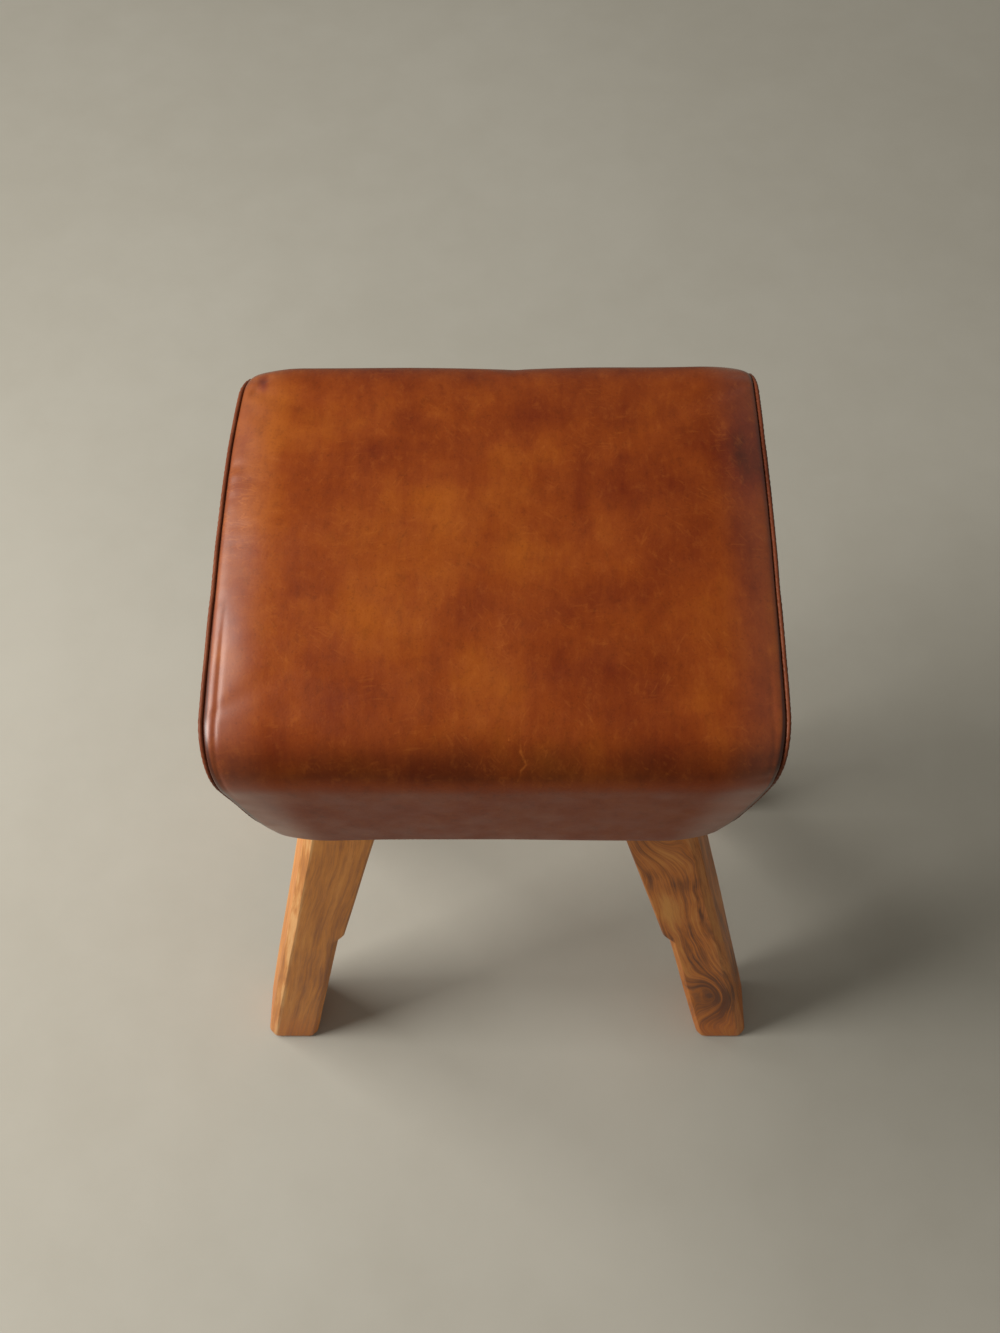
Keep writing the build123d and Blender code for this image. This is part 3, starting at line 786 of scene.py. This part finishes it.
class Value:
    """What a node gives. Such numbers are added and multiplied like plain ones."""

    def __init__(self, graph, socket):
        self.graph = graph
        self.socket = socket

    def __add__(self, other):
        return self.graph.math("ADD", self, other)

    def __sub__(self, other):
        return self.graph.math("SUBTRACT", self, other)

    def __rsub__(self, other):
        return self.graph.math("SUBTRACT", other, self)

    def __mul__(self, other):
        return self.graph.math("MULTIPLY", self, other)

    def __abs__(self):
        return self.graph.math("ABSOLUTE", self)


class Graph:
    """A material's nodes, with short ways to add and join them."""

    def __init__(self, name):
        self.material = bpy.data.materials.new(name)
        self.material.use_nodes = True
        self.tree = self.material.node_tree
        self.tree.nodes.clear()
        output = self.tree.nodes.new("ShaderNodeOutputMaterial")
        self.shader = self.tree.nodes.new("ShaderNodeBsdfPrincipled")
        self.tree.links.new(self.shader.outputs[0], output.inputs[0])
        self.place = self.node("ShaderNodeTexCoord", output="Object")

    def feed(self, socket, value):
        """Sets a socket, or joins it to what a node gives."""
        if isinstance(value, Value):
            self.tree.links.new(value.socket, socket)
        else:
            socket.default_value = value

    def node(self, kind, inputs=(), output=0, **settings):
        """What a new node gives, with its settings and inputs."""
        made = self.tree.nodes.new(kind)
        for name, value in settings.items():
            setattr(made, name, value)
        for name, value in dict(inputs).items():
            self.feed(made.inputs[name], value)
        return Value(self, made.outputs[output])

    def math(self, operation, first, second=0.0):
        """One step of arithmetic."""
        return self.node("ShaderNodeMath", {0: first, 1: second}, operation=operation)

    def vector(self, operation, first, second):
        """One step of arithmetic with vectors."""
        output = "Value" if operation in ("DOT_PRODUCT", "DISTANCE") else "Vector"
        partner = "Scale" if operation == "SCALE" else 1
        return self.node("ShaderNodeVectorMath", {0: first, partner: second}, output, operation=operation)

    def parts(self, vector):
        """The three parts of a vector."""
        return [self.node("ShaderNodeSeparateXYZ", {0: vector}, axis) for axis in range(3)]

    def stretched(self, vector, scale, turn=(0, 0, 0), move=(0, 0, 0)):
        """Coordinates moved, turned and scaled."""
        inputs = {"Vector": vector, "Location": move, "Rotation": turn, "Scale": scale}
        return self.node("ShaderNodeMapping", inputs)

    def noise(self, vector, scale, detail=3.0, roughness=0.55, distortion=0.0):
        """Smooth random values about one half."""
        inputs = {"Vector": vector, "Scale": scale, "Detail": detail, "Roughness": roughness}
        return self.node("ShaderNodeTexNoise", {**inputs, "Distortion": distortion}, "Fac")

    def warped(self, vector, scale, amount):
        """Coordinates pushed about by noise."""
        colour = self.node("ShaderNodeTexNoise", {"Vector": vector, "Scale": scale}, "Color")
        push = self.vector("SCALE", self.vector("SUBTRACT", colour, (0.5, 0.5, 0.5)), amount)
        return self.vector("ADD", vector, push)

    def cells(self, scale, feature="F1"):
        """Distance from the middles of small cells."""
        return self.node("ShaderNodeTexVoronoi", {"Vector": self.place, "Scale": scale}, feature=feature)

    def step(self, value, low, high, start=0.0, end=1.0):
        """A soft step from start to end while a value goes from low to high."""
        inputs = {"Value": value, "From Min": low, "From Max": high, "To Min": start, "To Max": end}
        return self.node("ShaderNodeMapRange", inputs, interpolation_type="SMOOTHSTEP")

    def mix(self, share, first, second):
        """A share of a second colour over a first."""
        return self.node("ShaderNodeMix", {0: share, 6: rgba(first), 7: rgba(second)}, 2, data_type="RGBA")

    def tinted(self, colour, tint, value, low, high, share=1.0):
        """A colour with a share of a tint that comes in while a value goes from low to high."""
        return self.mix(self.step(value, low, high, 0.0, share), colour, tint)

    def ramp(self, share, stops):
        """A colour from a row of stops."""
        made = self.node("ShaderNodeValToRGB", {"Fac": share})
        elements = made.socket.node.color_ramp.elements
        while len(elements) < len(stops):
            elements.new(0.5)
        for element, (place, colour) in zip(elements, stops):
            element.position = place
            element.color = rgba(colour)
        return made

    def bump(self, height, strength, distance, under=None):
        """A bumped normal, over another if there is one."""
        inputs = {"Height": height, "Strength": strength, "Distance": distance}
        return self.node("ShaderNodeBump", inputs if under is None else {**inputs, "Normal": under})

    def finish(self, colour, roughness, normal=None, **fixed):
        """Joins the last values to the shader, and sets its fixed ones."""
        inputs = self.shader.inputs
        self.feed(inputs["Base Color"], rgba(colour))
        self.feed(inputs["Roughness"], roughness)
        if normal is not None:
            self.feed(inputs["Normal"], normal)
        for name, value in fixed.items():
            inputs[name.replace("_", " ").title().replace("Ior", "IOR")].default_value = value
        return self.material


def seam_distance(graph):
    """Distance from the nearer end seam, worked out from the seat's lean."""
    x, y, z = graph.parts(graph.place)
    return seat_width / 2 - (seat_top - z) * math.tan(lean) - abs(x)


def soft_patch(graph, place, centre, size, strength):
    """A soft oval patch round a place, from 0 to a strength."""
    away = graph.vector("DIVIDE", graph.vector("SUBTRACT", place, centre), size)
    return graph.math("EXPONENT", graph.vector("DOT_PRODUCT", away, away) * -1.0) * strength


def hide_place(x, s):
    """A place on the hide, given across it and along it from the crown's middle."""
    order = slice(None, None, -1)
    y, up = (np.interp(s, middle_running[order], middle_points[order, axis]) for axis in (0, 1))
    return np.array([x, y, up + seat_top])


def line_mark(graph, place, start, end, width):
    """1 on a line between two places, falling to 0 beside it."""
    length = float(np.linalg.norm(end - start))
    along = tuple((end - start) / length)
    moved = graph.vector("SUBTRACT", place, tuple(start))
    run = graph.math("MINIMUM", graph.vector("DOT_PRODUCT", moved, along), length)
    foot = graph.vector("SCALE", along, graph.math("MAXIMUM", run, 0.0))
    return graph.step(graph.vector("DISTANCE", moved, foot), width, width * 0.2)


def short_strokes(graph, place, turn, move):
    """Short fine strokes that lie one way, in patches."""
    turned = graph.stretched(place, (1, 1, 1), turn=(0, 0, turn), move=(move, 0, 0))
    strokes = graph.noise(graph.stretched(turned, (1, 0.16, 0.5)), 430.0, 1.0, 0.5)
    patchy = graph.noise(graph.stretched(place, (1, 1, 1), move=(0, move, 0)), 19.0, 2.0, 0.5)
    return graph.step(strokes, 0.60, 0.74) * graph.step(patchy, 0.48, 0.68)


def leather_material(name, deep, middle, bright, edge, wear_and_painted_light=False):
    """Waxed hide: mottled dye, wiped streaks, scratches and fine grain.

    The one with wear and painted light is for the long hide: painted shade over its bends, in its seam grooves and
    along its right side, a redder painted tone on its faces, a painted highlight by the left seam, and dye patches,
    creases and polish.
    """
    graph = Graph(name)
    place = graph.place
    warped = graph.warped(place, 7.0, 0.03)
    broad = graph.noise(warped, 8.0, 3.0, 0.5, 0.3)
    small = graph.noise(place, 34.0, 5.0, 0.62)
    streak = graph.noise(graph.stretched(warped, (1, 0.2, 0.24)), 52.0, 6.0, 0.68)
    blend = broad * 0.54 + small * 0.21 + streak * 0.25
    # Soft patches: dye mottling, with a painted highlight along the left seam and painted shade along the right side
    for patch in dye_and_shade_patches if wear_and_painted_light else ():
        blend += soft_patch(graph, warped, *patch)
    colour = graph.ramp(blend, [(0.22, edge), (0.36, deep), (0.5, middle), (0.66, bright)])
    if wear_and_painted_light:
        up = graph.parts(graph.node("ShaderNodeNewGeometry", output="Normal"))[2]
        # Painted shade over the bends where the top turns down to the faces, made uneven by noise
        uneven_bend_shade = graph.noise(graph.stretched(place, (1, 0.5, 0.5)), 16.0, 4.0, 0.6)
        band = graph.step(up, 0.93, 0.62) * graph.step(up, 0.02, 0.4)
        colour = graph.mix(band * graph.step(uneven_bend_shade, 0.3, 0.65, 0.35, 1.0) * bend_painted_shade, colour, edge)
        # Faces turned away from the top get a redder painted tone for how the light falls on them
        face_painted_tone = (middle[0] * 1.25, middle[1], middle[2] * 0.6)
        colour = graph.tinted(colour, face_painted_tone, up, 0.4, 0.05, 0.6)
        beside_seam = seam_distance(graph)
        # Painted shade in the groove beside each end seam
        colour = graph.tinted(colour, edge, beside_seam, groove_shade_reach, groove_shade_core, 0.85)
    spots = graph.noise(place, 105.0, 3.0, 0.7)
    colour = graph.tinted(colour, edge, spots, 0.62, 0.75, 0.22)
    curled = graph.warped(place, 45.0, 0.006)
    marks = 0.0
    for turn, move in stroke_turns:
        marks = graph.math("MAXIMUM", marks, short_strokes(graph, curled, turn, move) * 0.3)
    if wear_and_painted_light:
        drawn_out = graph.stretched(graph.warped(place, 30.0, 0.004), (0.22, 1, 1))
        lines = graph.step(abs(graph.noise(drawn_out, 210.0, 1.0, 0.5) - 0.5), 0.035, 0.0)
        marks = graph.math("MAXIMUM", marks, lines * soft_patch(graph, place, *scratched_zone))
        wandering = graph.warped(place, 150.0, 0.0022)
        for path, _, width in hide_creases:
            for start, end in zip(path, path[1:]):
                line = line_mark(graph, wandering, hide_place(*start), hide_place(*end), width * 0.85)
                marks = graph.math("MAXIMUM", marks, line)
    pale = (bright[0] * 1.3, bright[1] * 1.5, bright[2] * 2.5)
    colour = graph.mix(marks * 0.5, colour, pale)
    mottle = graph.noise(graph.stretched(curled, (1, 0.55, 0.6)), 120.0, 4.0, 0.7)
    colour = graph.tinted(colour, edge, mottle, 0.5, 0.75, 0.22)
    colour = graph.tinted(colour, pale, mottle, 0.48, 0.25, 0.18)
    pores = graph.noise(place, 520.0, 2.0, 0.5)
    colour = graph.tinted(colour, edge, pores, 0.56, 0.7, 0.16)
    wrinkle = graph.noise(graph.warped(place, 60.0, 0.006), 170.0, 4.0, 0.6)
    normal = graph.bump(graph.cells(640.0, "SMOOTH_F1"), 0.1, 0.0004)
    normal = graph.bump(wrinkle, 0.14, 0.0008, normal)
    normal = graph.bump(marks, 0.12, 0.0005, normal)
    roughness = graph.step(graph.noise(place, 38.0, 4.0), 0.3, 0.7, 0.37, 0.47)
    if wear_and_painted_light:
        handled = graph.step(beside_seam, *handled_width)
        roughness *= graph.step(handled, 0.0, 1.0, 1.0, 0.92)
        graph.feed(graph.shader.inputs["Coat Weight"], handled * 0.95)
        graph.shader.inputs["Coat Roughness"].default_value = 0.4
    return graph.finish(colour, roughness, normal, **leather_shine)


def own_place(graph, foot, *directions):
    """Where a point is in a leg's own directions."""
    moved = graph.vector("SUBTRACT", graph.place, tuple(foot))
    runs = [graph.vector("DOT_PRODUCT", moved, tuple(way)) for way in directions]
    return graph.node("ShaderNodeCombineXYZ", enumerate(runs))


def wood_material(name, colours, own, seed, bands, sway, knots=(), stains=(), rub_and_highlight=0.12, rub_and_highlight_side=1):
    """Oiled hardwood. Its grain runs along the leg and bends round knots, and its outer corners are lighter: rubbed
    wear, and a painted highlight on the lit legs.
    """
    dark, middle, light = colours
    graph = Graph(name)
    place = own_place(graph, *own)
    x, y, z = graph.parts(place)
    shifted = graph.stretched(place, (1, 1, 0.45), move=(seed, seed * 0.7, seed * 1.3))
    across = x + y * 0.35 + (graph.noise(shifted, 16.0, 2.0) - 0.5) * sway
    for knot in knots:
        across += soft_patch(graph, place, *knot)
    grain_place = graph.node("ShaderNodeCombineXYZ", {0: across, 1: y, 2: z * 0.05})
    fibre = graph.noise(grain_place, 420.0, 4.0, 0.65)
    streak = graph.noise(graph.stretched(grain_place, (1, 0.5, 0.7), move=(0, seed, 0)), 120.0)
    growth = graph.noise(graph.stretched(grain_place, (1, 0.12, 0.3), move=(seed, 0, 0)), bands, 4.0, 0.6)
    cloud = graph.noise(shifted, 26.0)
    blend = growth * 0.36 + fibre * 0.30 + streak * 0.16 + cloud * 0.18
    wandering = graph.warped(place, 24.0, 0.014)
    for stain in stains:
        blend += soft_patch(graph, wandering, *stain)
    colour = graph.ramp(blend, [(0.39, dark), (0.5, middle), (0.61, light)])
    pores = graph.noise(graph.stretched(grain_place, (1, 1, 0.6)), 1300.0, 2.0, 0.5)
    colour = graph.tinted(colour, dark, pores, 0.6, 0.72, 0.35)
    foot_red = (middle[0] * 0.95, middle[1] * 0.72, middle[2] * 0.7)
    colour = graph.tinted(colour, foot_red, z, 0.10, 0.0, 0.45)
    # Lighter outer corners: a little rubbed wear, and on the left legs mostly a painted highlight where the chamfer
    # faces the lamp
    corner = (x * rub_and_highlight_side + abs(y)) * corner_share - z * corner_taper
    wear_and_painted_light = graph.step(corner, *corner_zone, 0.0, rub_and_highlight) * graph.step(blend, 0.45, 0.55, 0.15, 1.0)
    colour = graph.mix(wear_and_painted_light, colour, rubbed_and_highlit_wood)
    roughness = graph.step(fibre, 0.3, 0.7, 0.36, 0.48)
    normal = graph.bump(fibre, 0.2, 0.0003)
    return graph.finish(colour, roughness, normal, **wood_shine)


def board_material(name, dark, light, stretch, scale):
    """Sawn wood with its grain along one way."""
    graph = Graph(name)
    grain = graph.noise(graph.stretched(graph.warped(graph.place, 8.0, 0.01), stretch), scale, 4.0, 0.6)
    pores = graph.noise(graph.stretched(graph.place, stretch), scale * 5, 2.0)
    colour = graph.ramp(grain, [(0.34, dark), (0.66, light)])
    colour = graph.tinted(colour, dark, pores, 0.6, 0.72, 0.3)
    return graph.finish(colour, 0.62, graph.bump(grain, 0.2, 0.0004), specular_ior_level=0.3)


def foam_material():
    """Cut foam with open cells."""
    graph = Graph("open_cell_foam")
    cells = graph.cells(520.0)
    colour = graph.tinted((0.72, 0.6, 0.32), (0.8, 0.7, 0.44), graph.noise(graph.place, 30.0), 0.3, 0.7)
    colour = graph.tinted(colour, (0.45, 0.35, 0.16), cells, 0.7, 0.2, 0.35)
    return graph.finish(colour, 0.9, graph.bump(cells, 0.5, 0.0008), specular_ior_level=0.2)


def cloth_material():
    """Black non-woven cloth with a pressed dot pattern and loose fibres."""
    graph = Graph("black_dust_cloth")
    dots = graph.cells(700.0)
    fibres = graph.noise(graph.warped(graph.place, 90.0, 0.01), 260.0, 4.0, 0.7)
    colour = graph.tinted((0.009, 0.009, 0.010), (0.035, 0.034, 0.034), fibres, 0.35, 0.7)
    colour = graph.tinted(colour, (0.05, 0.05, 0.052), dots, 0.45, 0.1, 0.5)
    normal = graph.bump(fibres, 0.3, 0.0004, graph.bump(dots, 0.4, 0.0005))
    return graph.finish(colour, 0.88, normal, specular_ior_level=0.25)


def metal_material(name, dark, light, cloudiness, stretch, scuffing, shine, relief):
    """Bright metal, a little cloudy, with light scuffs."""
    graph = Graph(name)
    cloud = graph.noise(graph.place, cloudiness, 4.0, 0.6)
    scuffs = graph.noise(graph.stretched(graph.place, stretch), scuffing, 2.0)
    colour = graph.tinted(dark, light, cloud, 0.3, 0.7)
    roughness = graph.step(scuffs, 0.35, 0.7, *shine)
    return graph.finish(colour, roughness, graph.bump(scuffs, *relief), metallic=1.0)


def dress(made, look):
    """Gives a piece its material."""
    made.data.materials.clear()
    made.data.materials.append(look)


leather_shine = {"specular_ior_level": 0.205, "specular_tint": (1.0, 0.84, 0.68, 1.0)}
wood_shine = {"specular_ior_level": 0.3, "specular_tint": (1.0, 0.86, 0.7, 1.0)}

# The hide's painted shade over its bends, its painted shade in the seam groove and its handled zone at the seams, and
# its strokes' turns
bend_painted_shade = 0.56
groove_shade_reach = 0.00405
groove_shade_core = 0.0024
handled_width = (0.050, 0.010)
stroke_turns = ((0.5, 0.0), (1.45, 0.3), (-0.6, 0.6), (2.2, 0.9))

# Lighter outer corners of the legs: rubbed wear, and a painted highlight on the left legs' outer chamfers
corner_share = 0.707
corner_taper = 0.0157
corner_zone = (0.0340, 0.0368)
rubbed_and_highlit_wood = (0.72, 0.47, 0.22)

# Patches: centre, size and strength, which lightens above 0. Most are dye mottling; those marked are painted
# highlight and painted shade.
scratched_zone = ((-0.199, 0.025, 0.745), (0.016, 0.055, 0.1), 1.0)
dye_and_shade_patches = [
    # Painted highlight on the strip by the left seam that faces the lamps
    ((-0.186, 0.070, 0.745), (0.014, 0.080, 0.2), 0.11),
    ((-0.012, 0.021, 0.747), (0.070, 0.030, 0.2), 0.08),
    ((0.049, -0.025, 0.747), (0.035, 0.030, 0.2), 0.06),
    ((0.008, -0.141, 0.740), (0.018, 0.045, 0.2), 0.08),
    ((0.149, -0.157, 0.737), (0.030, 0.030, 0.2), 0.05),
    ((0.037, -0.173, 0.730), (0.020, 0.015, 0.1), 0.07),
    ((0.019, 0.112, 0.743), (0.085, 0.030, 0.2), -0.06),
    ((-0.147, -0.050, 0.747), (0.050, 0.040, 0.2), -0.09),
    ((0.056, -0.060, 0.746), (0.035, 0.020, 0.2), -0.05),
    ((-0.054, -0.184, 0.719), (0.024, 0.014, 0.02), -0.16),
    ((-0.011, -0.060, 0.746), (0.040, 0.030, 0.2), -0.06),
    # Painted shade along the right seam, which faces away from the lamps
    ((0.193, 0.020, 0.745), (0.012, 0.160, 0.2), -0.07),
    ((-0.163, -0.176, 0.728), (0.045, 0.022, 0.03), -0.07),
    ((-0.105, -0.141, 0.740), (0.030, 0.025, 0.1), -0.06),
    # Painted shade at the rear-left corner, where the piping ends
    ((-0.194, 0.158, 0.735), (0.0045, 0.010, 0.02), -0.26),
    # Painted shade over the right side, which faces away from the lamps
    ((0.170, 0.000, 0.745), (0.050, 0.200, 0.2), -0.05),
    ((0.110, -0.100, 0.745), (0.060, 0.060, 0.2), -0.07),
    # Painted highlight on the strip by the left seam, towards the rear
    ((-0.193, 0.135, 0.742), (0.020, 0.030, 0.1), 0.06),
]
hide_look = leather_material(
    "aged_tan_hide", (0.136, 0.018, 0.0028), (0.212, 0.038, 0.0042), (0.305, 0.073, 0.0066), (0.048, 0.007, 0.0013),
    wear_and_painted_light=True,
)
end_look = leather_material(
    "end_tan_hide", (0.128, 0.020, 0.0035), (0.190, 0.040, 0.005), (0.265, 0.070, 0.008), (0.040, 0.007, 0.002),
)
cord_look = leather_material(
    "covered_cord_hide", (0.09, 0.018, 0.006), (0.14, 0.032, 0.012), (0.2, 0.056, 0.022), (0.04, 0.008, 0.003),
)
foam = foam_material()
dress(seat_hide, hide_look)
dress(seat_foam, foam)
dress(cover, cloth_material())
for word in ("right", "left"):
    dress(panels[word], end_look)
    dress(cords[word], cord_look)
    dress(end_foams[word], foam)

# Colours from dark to light. Swirls and stains: centre and size along the leg's own directions, and strength
golden = ((0.34, 0.105, 0.018), (0.60, 0.212, 0.034), (0.76, 0.320, 0.070))
figured = ((0.15, 0.036, 0.006), (0.56, 0.165, 0.020), (0.70, 0.295, 0.062))
swirls = [
    ((-0.004, 0.0, 0.500), (0.022, 0.2, 0.055), 0.044),
    ((0.006, 0.0, 0.120), (0.020, 0.2, 0.055), -0.032),
    ((0.018, 0.0, 0.300), (0.012, 0.2, 0.080), 0.010),
    ((-0.012, 0.0, 0.030), (0.022, 0.2, 0.035), 0.014),
]
stains = [
    ((-0.010, 0.0, 0.335), (0.014, 0.2, 0.040), 0.12),
    ((0.015, 0.0, 0.345), (0.0022, 0.2, 0.060), -0.11),
    ((0.008, 0.0, 0.110), (0.022, 0.2, 0.060), -0.125),
    ((-0.014, 0.0, 0.418), (0.014, 0.2, 0.014), -0.05),
    ((0.006, 0.0, 0.390), (0.016, 0.2, 0.014), -0.05),
    ((0.0, 0.0, 0.015), (0.03, 0.2, 0.018), 0.03),
]
rear_swirls = [
    ((0.008, 0.0, 0.36), (0.02, 0.2, 0.06), -0.018),
    ((-0.01, 0.0, 0.16), (0.018, 0.2, 0.07), 0.016),
]
leg_looks = {
    "front_left": wood_material(
        "golden_sheesham", golden, leg_frame(-1, True), seed=0.3, bands=95.0, sway=0.014, rub_and_highlight=0.55, rub_and_highlight_side=-1,
    ),
    "front_right": wood_material(
        "figured_sheesham", figured, leg_frame(1, True), seed=1.7, bands=150.0, sway=0.030,
        knots=swirls, stains=stains,
    ),
    "rear_left": wood_material(
        "golden_sheesham_rear", golden, leg_frame(-1, False), seed=2.9, bands=100.0, sway=0.020,
        knots=rear_swirls[:1], rub_and_highlight=0.3, rub_and_highlight_side=-1,
    ),
    "rear_right": wood_material(
        "figured_sheesham_rear", figured, leg_frame(1, False), seed=4.1, bands=140.0, sway=0.026,
        knots=rear_swirls, stains=stains[2:3],
    ),
}
for place, look in leg_looks.items():
    dress(legs[place], look)

sawn = ((0.30, 0.17, 0.08), (0.50, 0.33, 0.18))
zinc = metal_material(
    "zinc_plate", (0.5, 0.5, 0.49), (0.66, 0.66, 0.63), cloudiness=160.0,
    stretch=(1, 1, 0.1), scuffing=900.0, shine=(0.28, 0.46), relief=(0.1, 0.0002),
)
wire = metal_material(
    "staple_wire_finish", (0.42, 0.41, 0.38), (0.56, 0.55, 0.52), cloudiness=240.0,
    stretch=(1, 1, 1), scuffing=1440.0, shine=(0.38, 0.38), relief=(0.15, 0.0004),
)
for look, nodes in (
    (board_material("rail_board", *sawn, (0.08, 1, 1), 150.0), ("front_rail", "rear_rail")),
    (board_material("end_board", *sawn, (1, 0.08, 1), 150.0), ("right_end_rail", "left_end_rail")),
    (board_material("deck_plywood", (0.46, 0.30, 0.15), (0.62, 0.46, 0.27), (0.06, 1, 1), 90.0), ("seat_deck",)),
    (zinc, ("leg_bolts", "leg_washers", "leg_nuts", "rail_screws", "deck_screws")),
    (wire, ("hem_staples", "cover_staples")),
):
    for node in nodes:
        dress(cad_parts[node], look)


# Floor, light and camera


def plain_floor():
    """A pale floor that keeps the stool's shadow."""
    x, y = np.meshgrid(np.linspace(-6, 6, floor_lines), np.linspace(-6, 6, floor_lines))
    grid = np.stack([x, y, np.zeros_like(x)], -1)
    floor = mesh_object("pale_floor", grid.reshape(-1, 3), grid_faces(floor_lines, floor_lines))
    graph = Graph("pale_floor_paint")
    blend = graph.noise(graph.place, 1.3, 4.0) * 0.7 + graph.noise(graph.place, 14.0, 5.0, 0.6) * 0.3
    colour = graph.tinted((0.375, 0.352, 0.292), (0.41, 0.388, 0.327), blend, 0.3, 0.7)
    dress(floor, graph.finish(colour, 0.7, specular_ior_level=0.25))


def soft_lamp(name, place, aim, size, power, colour):
    """A soft lamp, as wide and high as its size, that points at a place."""
    data = bpy.data.lights.new(name, "AREA")
    data.shape = "RECTANGLE"
    data.size, data.size_y = size
    data.energy = power
    data.color = colour
    lamp = bpy.data.objects.new(name, data)
    lamp.location = place
    lamp.rotation_euler = (Vector(aim) - Vector(place)).to_track_quat("-Z", "Y").to_euler()
    bpy.context.collection.objects.link(lamp)


def sky(strength):
    """Even pale light from all round."""
    world = bpy.data.worlds.new("pale_sky")
    world.use_nodes = True
    background = world.node_tree.nodes["Background"]
    background.inputs[0].default_value = (1.0, 0.975, 0.9, 1.0)
    background.inputs[1].default_value = strength
    bpy.context.scene.world = world


def make_camera():
    """The camera where the photograph was taken from."""
    data = bpy.data.cameras.new("camera")
    data.sensor_width = sensor
    data.lens = focal_pixels * sensor / photo_height
    camera = bpy.data.objects.new("camera", data)
    turn = Matrix.Rotation(-camera_pan, 4, "Z")
    tip = Matrix.Rotation(math.pi / 2 - camera_pitch, 4, "X")
    roll_over = Matrix.Rotation(camera_roll, 4, "Z")
    camera.matrix_world = Matrix.Translation(camera_place) @ turn @ tip @ roll_over
    bpy.context.collection.objects.link(camera)
    bpy.context.scene.camera = camera


plain_floor()
soft_lamp(
    "window", place=(-2.05, -0.38, 2.12), aim=(0, 0, 0.4), size=(1.0, 1.0), power=66, colour=(1.0, 0.985, 0.965),
)
soft_lamp(
    "far_window", place=(-1.78, 0.66, 2.62), aim=(-0.1, 0, 0.6), size=(1.3, 0.65), power=38, colour=(1.0, 0.98, 0.96),
)
sky(strength=0.235)
make_camera()
bpy.context.scene.view_settings.view_transform = "Standard"
